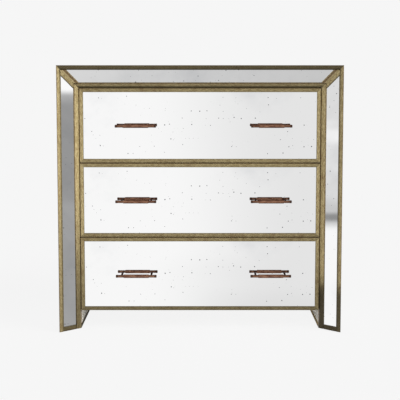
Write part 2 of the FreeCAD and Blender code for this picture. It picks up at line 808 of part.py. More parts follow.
def make_drawer_front(index, drawer):
    """Front board, the mirror pane on it and the mitred moulding round the pane."""
    plate = rectangle("-Fits.front_half", "Fits.front_half", "0", "Fits.front_height")
    panel = stick(f"{drawer}_front_board", "front", plate, "Fits.front_board_front",
                  "Sizes.front_board_thickness")
    name_part(lift(panel, index), f"{drawer}_front_board")

    width = "Sizes.front_moulding_width"
    pane_half = f"(Fits.front_half - {width})"
    window = rectangle(f"-{pane_half}", pane_half, width, f"(Fits.front_height - {width})")
    pane = stick(f"{drawer}_mirror", "front", window, "Fits.opening_front", "Sizes.pane_thickness")
    name_part(lift(pane, index), f"{drawer}_mirror")
    make_drawer_moulding(index, drawer, width)


def make_drawer_moulding(index, drawer, width):
    """Two rails and two stiles of crowned section, mitred at the corners."""
    base = "Fits.front_board_front"
    face = f"({base} - Sizes.front_moulding_thickness + Sizes.crown_rise)"
    crown = "Sizes.crown_rise"
    runs = (width, width)
    sticks = []
    for name, edge, sign in (("lower", "0", 1), ("upper", "Fits.front_height", -1)):
        inner = f"({edge} + {sign} * {width})"
        section = [(base, edge), (face, edge, crown), (face, inner), (base, inner)]
        rail = stick(f"{drawer}_{name}_rail", "side", section, "-Fits.front_half",
                     "2 * Fits.front_half")
        cut_through(rail, "front", [
            mitre_waste(("-Fits.front_half", edge), (1, sign), runs, "u"),
            mitre_waste(("Fits.front_half", edge), (-1, sign), runs, "u"),
        ])
        round_edges(rail, "side", section[1:3])
        sticks.append(lift(rail, index))
    for side, sign in SIDE_SIGN.items():
        edge = f"{sign} * Fits.front_half"
        inner = f"({edge} - {sign} * {width})"
        section = [(edge, base), (edge, face, crown), (inner, face), (inner, base)]
        stile = stick(f"{drawer}_{side}_stile", "plan", section, "0", "Fits.front_height")
        cut_through(stile, "front", [
            mitre_waste((edge, "0"), (-sign, 1), runs, "v"),
            mitre_waste((edge, "Fits.front_height"), (-sign, -1), runs, "v"),
        ])
        round_edges(stile, "plan", section[1:3])
        sticks.append(lift(stile, index))
    group(f"{drawer}_moulding", sticks)


def make_drawer_box(index, drawer):
    """Sides and ends grooved for the bottom, and the bottom itself."""
    low, high = "Sizes.box_rise", "Fits.box_top"
    groove_low = "(Sizes.box_rise + Sizes.groove_rise)"
    groove_high = f"({groove_low} + Sizes.box_bottom_thickness)"

    def grooved(outside, inside, toward):
        """Board section with the groove cut into its inside face."""
        deep = f"({inside} + {toward} * Sizes.groove_depth)"
        return [
            (outside, low), (inside, low), (inside, groove_low), (deep, groove_low),
            (deep, groove_high), (inside, groove_high), (inside, high), (outside, high),
        ]

    sides = []
    for side, sign in SIDE_SIGN.items():
        section = grooved(f"{sign} * Fits.box_half", f"{sign} * Fits.box_inside", sign)
        piece = stick(f"{drawer}_{side}_side", "front", section, "Fits.front_board_back",
                      "Fits.box_back - Fits.front_board_back")
        sides.append(lift(piece, index))
    group(f"{drawer}_box_sides", sides)

    inside_front = "(Fits.front_board_back + Sizes.box_board_thickness)"
    inside_back = "(Fits.box_back - Sizes.box_board_thickness)"
    ends = []
    for name, outside, inside, toward in (
        ("front", "Fits.front_board_back", inside_front, -1),
        ("back", "Fits.box_back", inside_back, 1),
    ):
        piece = stick(f"{drawer}_{name}_end", "side", grooved(outside, inside, toward),
                      "-Fits.box_inside", "2 * Fits.box_inside")
        ends.append(lift(piece, index))
    group(f"{drawer}_box_ends", ends)

    reach = "(Sizes.groove_depth - Sizes.groove_clearance)"
    bottom = board(
        f"{drawer}_bottom",
        (f"-Fits.box_inside - {reach}", f"{inside_front} - {reach}",
         f"{drawer_foot(index)} + {groove_low}"),
        (f"Fits.box_inside + {reach}", f"{inside_back} + {reach}",
         f"{drawer_foot(index)} + {groove_high}"),
    )
    name_part(bottom, f"{drawer}_bottom")


def pull_profile():
    """Half profile of a pull's bar: end caps, bar and centre sleeve."""
    end, sleeve = "Sizes.pull_length / 2", "Sizes.pull_sleeve_length / 2"
    cap, bar = "Sizes.pull_cap_diameter / 2", "Sizes.pull_bar_diameter / 2"
    thick, bevel = "Sizes.pull_sleeve_diameter / 2", "Sizes.pull_bevel"
    cap_start = f"({end} - Sizes.pull_cap_length)"
    right = [
        (f"{sleeve} - {bevel}", thick), (sleeve, f"{thick} - {bevel}"), (sleeve, bar),
        (cap_start, bar), (cap_start, cap), (f"{end} - {bevel}", cap),
        (end, f"{cap} - {bevel}"), (end, "0"),
    ]
    left = [(f"-({u})", v) for u, v in reversed(right)]
    return left + right


def make_pulls(index, drawer):
    """Two bar pulls, each on two posts that stand on the mirror."""
    pulls = []
    post_half = "Sizes.pull_post_spacing / 2"
    for side, sign in SIDE_SIGN.items():
        body = document.addObject("PartDesign::Body", f"{drawer}_{side}_pull")
        turned = body.newObject("PartDesign::Revolution", "bar")
        turned.Profile = sketch_on(body, "plan", [pull_profile()])
        turned.ReferenceAxis = (turned.Profile[0], ["H_Axis"])
        turned.Angle = 360
        steps = (f"-{post_half}", post_half)
        posts = sketch_on(body, "front",
                          circles=[(step, "0", "Sizes.pull_post_diameter") for step in steps])
        add_pad(body, posts, "Sizes.pull_projection", toward_back=True)
        body.setExpression("Placement.Base.x", f"{sign} * Sizes.{side}_pull_offset")
        body.setExpression("Placement.Base.y", "Fits.opening_front - Sizes.pull_projection")
        body.setExpression("Placement.Base.z", f"{drawer_foot(index)} + Fits.front_height / 2")
        pulls.append(body)
    group(f"{drawer}_pulls", pulls)


# ---- The whole chest -------------------------------------------------------------------------


def make_case():
    """Everything that stands still."""
    for side in SIDE_SIGN:
        make_case_boards(side, f"{side}_outer_board", f"{side}_inner_board", f"{side}_splay_board")
        make_side_battens(side)
        make_side_face(side)
    make_case_boards("top", "top_board", "ceiling_board", "top_splay_board")
    make_top_battens()
    make_top_face()
    make_back_panel()
    make_bottom_and_rails()
    make_floor_glides()
    make_front_moulding()
    make_inner_moulding()
    make_splay_mirrors()
    make_valley_mouldings()
    make_foot_mouldings()
    make_case_slide_members()


def make_drawer(index, drawer):
    """One drawer with its moving slide members."""
    make_drawer_front(index, drawer)
    make_drawer_box(index, drawer)
    make_pulls(index, drawer)
    make_moving_slide_members(index, drawer)


def check_document():
    """Stops if any object failed or any sub-part has no sound shape."""
    document.recompute()
    for item in document.Objects:
        if "Invalid" in item.State or "Error" in item.State:
            raise RuntimeError(f"{item.Label} failed: {item.State}")
    for part in parts:
        if part.Shape.isNull() or not part.Shape.isValid() or not part.Shape.Solids:
            raise RuntimeError(f"{part.Label} has no sound shape")


def write_parts():
    """One STEP file for each sub-part."""
    os.makedirs("parts", exist_ok=True)
    for part in parts:
        part.Shape.exportStep(f"parts/{part.Label}.step")


make_case()
for drawer_index, drawer_name in enumerate(DRAWERS):
    make_drawer(drawer_index, drawer_name)
check_document()
write_parts()
print(len(parts), "sub-parts")
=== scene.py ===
import math

import bpy
from mathutils import Matrix, Vector


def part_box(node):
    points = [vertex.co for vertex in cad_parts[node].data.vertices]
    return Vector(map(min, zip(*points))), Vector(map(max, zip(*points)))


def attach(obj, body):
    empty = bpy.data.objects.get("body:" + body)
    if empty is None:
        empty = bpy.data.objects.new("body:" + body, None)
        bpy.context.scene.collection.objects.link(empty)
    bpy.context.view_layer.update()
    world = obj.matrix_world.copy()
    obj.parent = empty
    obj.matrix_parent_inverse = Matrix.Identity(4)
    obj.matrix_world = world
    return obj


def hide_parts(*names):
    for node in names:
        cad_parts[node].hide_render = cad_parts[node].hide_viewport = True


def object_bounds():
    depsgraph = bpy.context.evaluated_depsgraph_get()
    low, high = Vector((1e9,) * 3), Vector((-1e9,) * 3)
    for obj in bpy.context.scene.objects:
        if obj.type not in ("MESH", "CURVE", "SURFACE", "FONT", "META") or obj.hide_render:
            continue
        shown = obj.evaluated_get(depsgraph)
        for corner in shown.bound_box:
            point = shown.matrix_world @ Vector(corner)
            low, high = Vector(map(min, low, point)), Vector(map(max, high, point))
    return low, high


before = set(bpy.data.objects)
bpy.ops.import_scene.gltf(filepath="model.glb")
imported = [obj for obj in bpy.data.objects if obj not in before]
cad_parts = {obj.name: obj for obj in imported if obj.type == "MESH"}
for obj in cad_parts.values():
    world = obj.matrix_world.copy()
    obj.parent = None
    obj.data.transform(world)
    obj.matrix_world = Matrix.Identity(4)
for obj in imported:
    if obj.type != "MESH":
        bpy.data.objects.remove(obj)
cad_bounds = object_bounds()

# Mirrored chest of three drawers: antiqued mirror panes in rubbed gilt mouldings, with bronze
# bar pulls, in a plain studio. Metres; x to the right, y to the back, z up.

bl_info = {
    "name": "Mirrored chest",
    "version": (1, 0, 0),
    "blender": (4, 5, 0),
    "location": "3D View > Sidebar > Chest",
    "description": "Finishes, pulls and studio of a mirrored chest of three drawers",
    "category": "Object",
}

DRAWERS = ("top_drawer", "middle_drawer", "bottom_drawer")
SIDES = ("left", "right")
X, Y, Z = 0, 1, 2
MM = 0.001
MIX_A, MIX_B, MIX_OUT = 6, 7, 2  # sockets of a Mix node set to colours
VECTOR_A, VECTOR_B, VECTOR_OUT = 4, 5, 1  # sockets of a Mix node set to vectors
EASED = {"interpolation_type": "SMOOTHSTEP"}  # a Map Range node that eases in and out
COLOURS = {"data_type": "RGBA"}  # a Mix node for colours
DRAWN_OUT = ((0.07, 1, 1), (1, 0.07, 1), (1, 1, 0.07))  # lengthens a pattern along x, y or z
BRUSHED_OUT = ((0.22, 1, 1), (1, 0.22, 1), (1, 1, 0.22))  # the same, for short brush marks
FACING = 0.99  # a face whose normal has more of an axis than this faces along it
FLOOR_ACROSS = 80.0  # metres, so that the floor's edge is far behind the chest

# Places of the frame and the drawers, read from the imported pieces.
HALF_WIDTH = cad_bounds[1].x
BACK = cad_bounds[1].y
HEIGHT = cad_bounds[1].z
SIDE_SPLAY = HALF_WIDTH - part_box("right_inner_board")[0].x
TOP_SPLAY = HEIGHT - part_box("ceiling_board")[0].z
SPLAY_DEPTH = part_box("front_moulding")[0].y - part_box("top_drawer_mirror")[0].y
LOWEST_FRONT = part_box("bottom_drawer_front_board")[0].z
DRAWER_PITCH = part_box("middle_drawer_front_board")[0].z - LOWEST_FRONT
MIRROR_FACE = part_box("top_drawer_mirror")[0].y
PULL_LOW, PULL_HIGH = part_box("top_drawer_pulls")


def linear(code):
    """Linear colour, with full alpha, of an sRGB hex value."""
    channels = [int(code[place:place + 2], 16) / 255 for place in (1, 3, 5)]
    flat = [c / 12.92 if c <= 0.04045 else ((c + 0.055) / 1.055) ** 2.4 for c in channels]
    return (*flat, 1.0)


def colour(name, description, code):
    """Colour property with its default given as sRGB hex."""
    return bpy.props.FloatVectorProperty(
        name=name, description=description, subtype="COLOR", size=4, min=0, max=1,
        default=linear(code),
    )


def number(name, description, default, **settings):
    """Number property."""
    return bpy.props.FloatProperty(
        name=name, description=description, default=default, **settings)


def length(name, description, millimetres):
    """Length property with its default given in millimetres."""
    return number(
        name, description, millimetres * MM, min=0, subtype="DISTANCE", unit="LENGTH",
        precision=4)


class ChestSizes(bpy.types.PropertyGroup):
    """Sizes of the pieces and patterns made here."""

    pull_projection: length("Pull projection", "Mirror face to the pull's foremost line",
                            (MIRROR_FACE - PULL_LOW.y) / MM)
    post_spacing: length("Post spacing", "Between a pull's two posts", 101.6)
    post_diameter: length("Post diameter", "Posts of the pulls", 6.2)
    sleeve_length: length("Sleeve length", "Thick middle of a pull", 85)
    sleeve_diameter: length("Sleeve diameter", "Thick middle of a pull", 12)
    neck_length: length("Neck length", "From the sleeve to an end cap", 20.35)
    neck_diameter: length("Neck diameter", "Bar between sleeve and cap", 9.2)
    cap_length: length("Cap length", "End cap of a pull", 7)
    cap_diameter: length("Cap diameter", "End cap of a pull", 9.8)
    screw_head: length("Screw head", "Diameter of the screws' heads", 8)
    screw_rise: length("Screw rise", "Height of the screws' heads", 2.5)
    box_wall: length("Box wall", "Thickness of the drawer boxes' ends", 12)
    valley_bar: length("Valley bar", "Half of a valley bar, along x across the valley", 15.3)
    fox_spacing: length("Fox spot spacing", "Cell that may hold one large foxing spot", 24)
    fox_radius: length("Fox spot radius", "Largest foxing spot", 2.1)
    # Real bristle marks and spatter are nearer 1 mm; they are this coarse so that they show.
    brush_width: length("Brush mark width", "Brush marks of the gilding's glaze", 3.2)
    fleck_width: length("Fleck width", "Dark flecks spattered on the gilding", 2.6)
    grain_width: length("Grain width", "Between the grain lines of the drawer boxes", 3)


class ChestColours(bpy.types.PropertyGroup):
    """Colours of the finishes."""

    silver: colour("Silver", "Silvering behind the glass", "#F6F6F6")
    haze: colour("Haze", "Dulled silvering", "#E2E3E5")
    foxing: colour("Foxing", "Spots where the silver has gone", "#66686C")
    gilt_pale: colour("Pale gilt", "Gold leaf where it is rubbed bright", "#D8C593")
    gilt_deep: colour("Deep gilt", "Gold leaf under the glaze", "#9D8859")
    bole: colour("Bole", "Red-brown clay that shows through the leaf", "#8A6446")
    # The glaze colour also paints the gilding's shade: near the floor, on the right and on the
    # rails.
    glaze: colour("Glaze", "Umber glaze left in the quirks", "#433A24")
    bronze: colour("Bronze", "Rubbed high spots of the pulls", "#A07860")
    patina: colour("Patina", "Brown patina of the pulls", "#6A4638")
    # The dark patina also paints the shade along the upper and lower edges of the pulls' bars.
    dark_patina_and_shade: colour("Dark patina", "Patina of the posts and in corners", "#2A1D18")
    champagne: colour("Champagne", "Paint inside the legs and the case", "#F8F4EA")
    fibreboard: colour("Fibreboard", "Bare edges of fibreboard", "#9A7B58")
    dark_paint: colour("Dark paint", "Back panel and hidden rails", "#4B4037")
    pine: colour("Pine", "Battens", "#CDAA78")
    birch_pale: colour("Pale birch", "Early wood of the drawer boxes", "#D9BC8E")
    birch_dark: colour("Dark birch", "Late wood of the drawer boxes", "#B8925F")
    veneer: colour("Veneer", "Face veneer of the drawers' plywood bottoms", "#EBD9B8")
    zinc: colour("Zinc", "Plated steel of the slides and screws", "#B9BCBE")
    nylon: colour("Nylon", "Floor glides", "#2A2826")


class ChestStudio(bpy.types.PropertyGroup):
    """Light levels, where 1 shows a colour as it is written, the backdrop and the camera."""

    backdrop: colour("Backdrop", "Floor and background", "#F6F6F6")
    sky: number("Sky", "Level of the even light from all round", 0.30)
    key: number("Key", "Level of the soft light from the right", 0.76)
    front: number("Front", "Level of the soft light from high in front", 0.22)
    shadow: number("Shadow", "Share of the floor's tone that shadow takes away", 0.045,
                   subtype="FACTOR")
    bounce: number("Bounce", "Share of its light that the floor throws back", 0.97,
                   subtype="FACTOR")
    distance: length("Camera distance", "From the front of the chest to the camera", 3112)
    eye_height: length("Eye height", "From the floor to the camera", 881)
    pitch: number("Pitch", "Angle by which the camera looks down", math.radians(4.99),
                  subtype="ANGLE")
    lens: number("Lens", "Focal length of the camera in millimetres", 83.25)
    shift: number("Shift", "Upward shift of the view, in frame widths", -0.11)


# ---- Nodes ----


def add_node(tree, kind, feeds=None, **settings):
    """Adds a node. Its inputs are fed a value, a node's first output or a (node, output)."""
    node = tree.nodes.new("ShaderNode" + kind)
    for name, setting in settings.items():
        setattr(node, name, setting)
    for key, feed in (feeds or {}).items():
        if isinstance(feed, bpy.types.Node):
            tree.links.new(feed.outputs[0], node.inputs[key])
        elif isinstance(feed, tuple) and isinstance(feed[0], bpy.types.Node):
            tree.links.new(feed[0].outputs[feed[1]], node.inputs[key])
        else:
            node.inputs[key].default_value = feed
    return node


def start_material(name):
    """Empty material, with its tree and its Object coordinates."""
    material = bpy.data.materials.new(name)
    material.use_nodes = True
    tree = material.node_tree
    tree.nodes.clear()
    return material, tree, (add_node(tree, "TexCoord"), "Object")


def finish_material(tree, surface):
    """Ends a material's tree in its output."""
    add_node(tree, "OutputMaterial", {"Surface": surface})


def marks(millimetres):
    """Scale of a pattern whose marks are so many millimetres across."""
    return 1 / (millimetres * MM)


def darkened(base, share):
    """Colour with a share of its light taken away."""
    return tuple(channel * (1 - share) for channel in base[:3]) + (1.0,)


def dress(node, material):
    """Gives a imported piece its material."""
    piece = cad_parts[node]
    for held in piece.material_slots:
        held.material = material


# ---- Finishes ----


def silvered_glass(name, colours, sizes, across, up, pitch=None, lowest=0.0):
    """Antiqued mirror: float glass, silvered behind and foxed with acid, not moulded or ground.

    Flat and sharp to look into. Grey fox spots stand in loose clusters, and the silver is
    dulled in soft clouds. Across and up give the pane's own directions, stretched where the
    pane leans. With a pitch, the same panes repeat upwards, as cut from one sheet.
    """
    material, tree, place = start_material(name)
    right = add_node(tree, "VectorMath", {0: place, 1: across}, operation="DOT_PRODUCT")
    rise = add_node(tree, "VectorMath", {0: place, 1: up}, operation="DOT_PRODUCT")
    height = (rise, "Value")
    if pitch:
        height = add_node(
            tree, "Math", {0: height, 1: lowest + pitch, 2: lowest}, operation="WRAP")
    # The depth only picks the slice of the noises that the sheet shows.
    sheet = add_node(tree, "CombineXYZ", {0: (right, "Value"), 1: height, 2: 0.37})
    crowd = add_node(
        tree, "TexNoise", {"Vector": sheet, "Scale": marks(180), "Detail": 2.0})
    crowded = add_node(tree, "MapRange", {0: crowd, 1: 0.40, 2: 0.62, 3: 0.15}, **EASED)
    # Large spots, then small ones: the share of the cells that hold one where they crowd, and
    # how much closer the cells are.
    spots = None
    for share, closer in ((0.34, 1.0), (0.11, 2.1)):
        spacing, largest = sizes.fox_spacing / closer, sizes.fox_radius / sizes.fox_spacing
        cells = add_node(
            tree, "TexVoronoi", {"Vector": sheet, "Scale": 1 / spacing, "Randomness": 1.0},
            voronoi_dimensions="2D")
        draw = add_node(tree, "SeparateColor", {0: (cells, "Color")})
        limit = add_node(tree, "Math", {0: crowded, 1: share}, operation="MULTIPLY")
        chosen = add_node(tree, "Math", {0: (draw, 1), 1: limit}, operation="LESS_THAN")
        radius = add_node(
            tree, "MapRange", {0: (draw, 0), 3: 0.35 * largest, 4: largest})
        inside = add_node(
            tree, "Math", {0: radius, 1: (cells, "Distance")}, operation="SUBTRACT")
        solid = add_node(tree, "MapRange", {0: inside, 1: -0.01, 2: 0.015}, **EASED)
        spot = add_node(tree, "Math", {0: solid, 1: chosen}, operation="MULTIPLY")
        spots = spot if spots is None else add_node(
            tree, "Math", {0: spots, 1: spot}, operation="MAXIMUM")
    cloud = add_node(
        tree, "TexNoise",
        {"Vector": sheet, "Scale": marks(285), "Detail": 5.0, "Roughness": 0.6})
    dull = add_node(tree, "MapRange", {0: cloud, 1: 0.48, 2: 0.80}, **EASED)
    silver = add_node(
        tree, "Mix", {0: dull, MIX_A: colours.silver, MIX_B: colours.haze}, **COLOURS)
    foxed = add_node(
        tree, "Mix", {0: spots, MIX_A: (silver, MIX_OUT), MIX_B: colours.foxing}, **COLOURS)
    smooth = add_node(
        tree, "MapRange", {0: cloud, 1: 0.4, 2: 0.9, 3: 0.012, 4: 0.06}, **EASED)
    rough = add_node(tree, "Math", {0: spots, 1: 0.35, 2: smooth}, operation="MULTIPLY_ADD")
    finish_material(tree, add_node(
        tree, "BsdfPrincipled",
        {"Base Color": (foxed, MIX_OUT), "Metallic": 1.0, "Roughness": rough}))
    return material


def rim_distance(tree, split, axis, centre, half, slope=1.0):
    """Distance in from a frame's edge along one axis, over the slope of the mitre."""
    offset = add_node(tree, "Math", {0: (split, axis), 1: centre}, operation="SUBTRACT")
    away = add_node(tree, "Math", {0: offset}, operation="ABSOLUTE")
    inward = add_node(tree, "Math", {0: half, 1: away}, operation="SUBTRACT")
    return add_node(tree, "Math", {0: inward, 1: slope}, operation="DIVIDE")


def painted_shade_by_height(tree, split, as_right, left, right):
    """Share of the leaf left clear of painted shade, by height, on each side of the chest."""
    clear = [
        add_node(tree, "MapRange", {0: (split, "Z"), 1: low, 2: high, 3: kept, 4: above}, **EASED)
        for low, high, kept, above in (left, right)
    ]
    return add_node(tree, "Mix", {0: as_right, 2: clear[0], 3: clear[1]})


def rubbed_gilding(name, colours, sizes, rails, stiles, start, width, glaze_and_shade, quirks,
                   painted_floor_and_side_shade=((0.0, 0.46, 0.50, 1.0),) * 2, lean="MINIMUM", behind=None):
    """Gold leaf over red bole on a run moulding, rubbed back and glazed with umber.

    The eye sees short brush marks along each stick, fine dark flecks, bole where the outer
    edge is rubbed through, dark glaze in the inner quirk, and painted shade in the glaze colour:
    heavier on the rails, near the floor and on the right-hand sticks.
    Rails and stiles are each (axis, centre, half, slope) of the frame that the sticks make.
    The glaze shares are those of glaze and painted shade on rails and on stiles. Quirks are
    where the outer one ends and the inner one begins, as shares of the width, and the leaf kept
    clear in the inner one on rails and on stiles, less on the rails as painted shade. The floor
    and side shares are (lowest, highest, share clear below, share clear above) of painted shade
    for the left and the right. Behind is (y, share clear on the left, on the right) of a plane,
    behind which the sticks are matt.
    """
    material, tree, place = start_material(name)
    split = add_node(tree, "SeparateXYZ", {0: place})
    along_rail = rim_distance(tree, split, *rails)
    along_stile = rim_distance(tree, split, *stiles)
    is_rail = add_node(tree, "Math", {0: along_stile, 1: along_rail}, operation="LESS_THAN")
    inward = add_node(tree, "Math", {0: along_stile, 1: along_rail}, operation=lean)
    across = add_node(tree, "MapRange", {0: inward, 1: start, 2: start + width})
    stile_run = add_node(
        tree, "VectorMath", {0: place, 1: BRUSHED_OUT[stiles[0]]}, operation="MULTIPLY")
    rail_run = add_node(
        tree, "VectorMath", {0: place, 1: BRUSHED_OUT[rails[0]]}, operation="MULTIPLY")
    run = add_node(
        tree, "Mix", {0: is_rail, VECTOR_A: stile_run, VECTOR_B: rail_run}, data_type="VECTOR")
    brushed = add_node(
        tree, "TexNoise",
        {"Vector": (run, VECTOR_OUT), "Scale": 1 / sizes.brush_width, "Detail": 5.0,
         "Roughness": 0.7})
    patches = add_node(
        tree, "TexNoise",
        {"Vector": place, "Scale": marks(33), "Detail": 4.0, "Roughness": 0.6})
    flecks = add_node(
        tree, "TexNoise", {"Vector": place, "Scale": 1 / sizes.fleck_width, "Detail": 1.0})
    bright = add_node(tree, "MapRange", {0: brushed, 1: 0.33, 2: 0.64}, **EASED)
    leaf = add_node(
        tree, "Mix", {0: bright, MIX_A: colours.gilt_deep, MIX_B: colours.gilt_pale}, **COLOURS)

    # Leaf that is worn to the bole, in patches and along the outer edge of the stick. The
    # stick's outer side lies at the very start of its width and isn't worn as its face is.
    thin = add_node(tree, "MapRange", {0: patches, 1: 0.52, 2: 0.80, 4: 0.6}, **EASED)
    on_face = add_node(tree, "Math", {0: across, 1: 0.004}, operation="GREATER_THAN")
    edge = add_node(
        tree, "MapRange", {0: across, 1: 0.4 * quirks[0], 2: quirks[0], 3: 0.8, 4: 0.0}, **EASED)
    edge = add_node(tree, "Math", {0: edge, 1: on_face}, operation="MULTIPLY")
    worn = add_node(tree, "Math", {0: thin, 1: edge}, operation="MAXIMUM")
    rubbed = add_node(
        tree, "Mix", {0: worn, MIX_A: (leaf, MIX_OUT), MIX_B: colours.bole}, **COLOURS)

    # Shares of the leaf that the glaze colour leaves clear: glaze and painted shade all over,
    # heavier on the rails; painted shade near the floor and on the right; glaze at the worn edge;
    # glaze in the inner quirk, with painted shade on the rails; flecks; and the dark mitre
    # joints.
    on_right = add_node(tree, "Math", {0: (split, "X"), 1: 0.0}, operation="GREATER_THAN")
    right_face = add_node(tree, "Math", {0: on_right, 1: on_face}, operation="MULTIPLY")
    seam = add_node(
        tree, "Math", {0: along_stile, 1: along_rail, 2: 0.3 * MM}, operation="COMPARE")
    # Less leaf kept in the quirk of the rails is painted shade.
    quirk = add_node(tree, "Mix", {0: is_rail, 2: quirks[3], 3: quirks[2]})
    clear = [
        add_node(tree, "Mix", {0: is_rail, 2: 1 - glaze_and_shade[1], 3: 1 - glaze_and_shade[0]}),
        painted_shade_by_height(tree, split, right_face, *painted_floor_and_side_shade),
        add_node(tree, "MapRange", {0: edge, 3: 1.0, 4: 0.6}, **EASED),
        add_node(
            tree, "MapRange",
            {0: across, 1: quirks[1], 2: 0.5 + quirks[1] / 2, 3: 1.0, 4: quirk}, **EASED),
        add_node(tree, "MapRange", {0: flecks, 1: 0.60, 2: 0.70, 3: 1.0, 4: 0.5}, **EASED),
        add_node(tree, "MapRange", {0: seam, 3: 1.0, 4: 0.55}),
    ]
    rough = add_node(
        tree, "MapRange", {0: patches, 1: 0.35, 2: 0.75, 3: 0.38, 4: 0.62}, **EASED)
    kept = clear[0]
    for share in clear[1:]:
        kept = add_node(tree, "Math", {0: kept, 1: share}, operation="MULTIPLY")
    if behind is not None:
        plane, clear_left, clear_right = behind
        edging = add_node(tree, "Mix", {0: on_right, 2: clear_left, 3: clear_right})
        in_front = add_node(tree, "Math", {0: (split, "Y"), 1: plane}, operation="LESS_THAN")
        kept = add_node(tree, "Mix", {0: in_front, 2: edging, 3: kept})
        rough = add_node(tree, "Mix", {0: in_front, 2: 0.95, 3: rough})
    # The glaze colour lays on both the umber glaze and the painted shade.
    glazed_and_shaded = add_node(
        tree, "Mix", {0: kept, MIX_A: colours.glaze, MIX_B: (rubbed, MIX_OUT)}, **COLOURS)
    relief = add_node(
        tree, "Bump", {"Height": brushed, "Strength": 0.3, "Distance": 0.25 * MM})
    finish_material(tree, add_node(
        tree, "BsdfPrincipled",
        {"Base Color": (glazed_and_shaded, MIX_OUT), "Metallic": 0.25, "Roughness": rough,
         "Specular IOR Level": 0.3, "Normal": relief}))
    return material


def brown_bronze(name, colours, sizes, centres):
    """Cast bronze with a brown chemical patina, with a painted highlight along the middle of the
    bar.

    Warm copper brown, painted lighter along the middle of the bar as a highlight; its upper and
    lower edges are painted near black as shade, and the ends and the posts stay near black.
    Centres are the x of the two pulls.
    """
    material, tree, place = start_material(name)
    split = add_node(tree, "SeparateXYZ", {0: place})
    away = None
    for centre in centres:
        offset = add_node(tree, "Math", {0: (split, "X"), 1: centre}, operation="SUBTRACT")
        apart = add_node(tree, "Math", {0: offset}, operation="ABSOLUTE")
        away = apart if away is None else add_node(
            tree, "Math", {0: away, 1: apart}, operation="MINIMUM")
    cap_start = sizes.sleeve_length / 2 + sizes.neck_length
    radius = sizes.sleeve_diameter / 2
    bar_axis = MIRROR_FACE - sizes.pull_projection + radius
    depth = add_node(tree, "Math", {0: (split, "Y"), 1: bar_axis}, operation="SUBTRACT")
    off_axis = add_node(tree, "Math", {0: depth}, operation="ABSOLUTE")
    # Painted shade off the middle of the bar, which leaves a painted highlight along it; darker
    # at its caps and on the posts behind it.
    painted_shade_and_patina = (
        add_node(
            tree, "MapRange",
            {0: off_axis, 1: 0.25 * radius, 2: 0.95 * radius, 3: 0.85, 4: 0.0}, **EASED),
        add_node(
            tree, "MapRange",
            {0: away, 1: cap_start - 4 * MM, 2: cap_start + 2 * MM, 4: 0.75}, **EASED),
        add_node(
            tree, "MapRange", {0: depth, 1: radius, 2: radius + 2 * MM}, **EASED),
    )
    dark = painted_shade_and_patina[0]
    for other in painted_shade_and_patina[1:]:
        dark = add_node(tree, "Math", {0: dark, 1: other}, operation="MAXIMUM")
    run = add_node(tree, "VectorMath", {0: place, 1: BRUSHED_OUT[X]}, operation="MULTIPLY")
    mottle = add_node(
        tree, "TexNoise",
        {"Vector": run, "Scale": marks(4.2), "Detail": 4.0, "Roughness": 0.6})
    handled = add_node(tree, "MapRange", {0: mottle, 1: 0.32, 2: 0.72}, **EASED)
    brown = add_node(
        tree, "Mix", {0: handled, MIX_A: colours.patina, MIX_B: colours.bronze}, **COLOURS)
    patinated_and_shaded = add_node(
        tree, "Mix", {0: dark, MIX_A: (brown, MIX_OUT), MIX_B: colours.dark_patina_and_shade}, **COLOURS)
    rough = add_node(
        tree, "MapRange", {0: mottle, 1: 0.35, 2: 0.70, 3: 0.48, 4: 0.30}, **EASED)
    relief = add_node(
        tree, "Bump", {"Height": mottle, "Strength": 0.2, "Distance": 0.1 * MM})
    finish_material(tree, add_node(
        tree, "BsdfPrincipled",
        {"Base Color": (patinated_and_shaded, MIX_OUT), "Metallic": 0.80, "Roughness": rough,
         "Specular IOR Level": 0.25, "Specular Tint": (0.40, 0.28, 0.22, 1.0),
         "Normal": relief}))
    return material


def planed_wood(name, pale, dark, sizes, axis):
    """Planed and lacquered board with its grain along one axis: long pale and dark lines."""
    material, tree, place = start_material(name)
    run = add_node(tree, "VectorMath", {0: place, 1: DRAWN_OUT[axis]}, operation="MULTIPLY")
    swirl = add_node(tree, "TexNoise", {"Vector": run, "Scale": marks(50), "Detail": 3.0})
    bent = add_node(
        tree, "VectorMath", {0: (swirl, "Color"), 1: (0.05, 0.05, 0.05), 2: run},
        operation="MULTIPLY_ADD")
    lines = add_node(
        tree, "TexNoise",
        {"Vector": bent, "Scale": 1 / sizes.grain_width, "Detail": 5.0, "Roughness": 0.6})
    early = add_node(tree, "MapRange", {0: lines, 1: 0.36, 2: 0.66}, **EASED)
    shade = add_node(tree, "Mix", {0: early, MIX_A: dark, MIX_B: pale}, **COLOURS)
    rough = add_node(tree, "MapRange", {0: lines, 1: 0.3, 2: 0.7, 3: 0.42, 4: 0.55}, **EASED)
    relief = add_node(tree, "Bump", {"Height": lines, "Strength": 0.12, "Distance": 0.2 * MM})
    finish_material(tree, add_node(
        tree, "BsdfPrincipled",
        {"Base Color": (shade, MIX_OUT), "Roughness": rough, "Normal": relief,
         "Coat Weight": 0.15, "Coat Roughness": 0.3}))
    return material


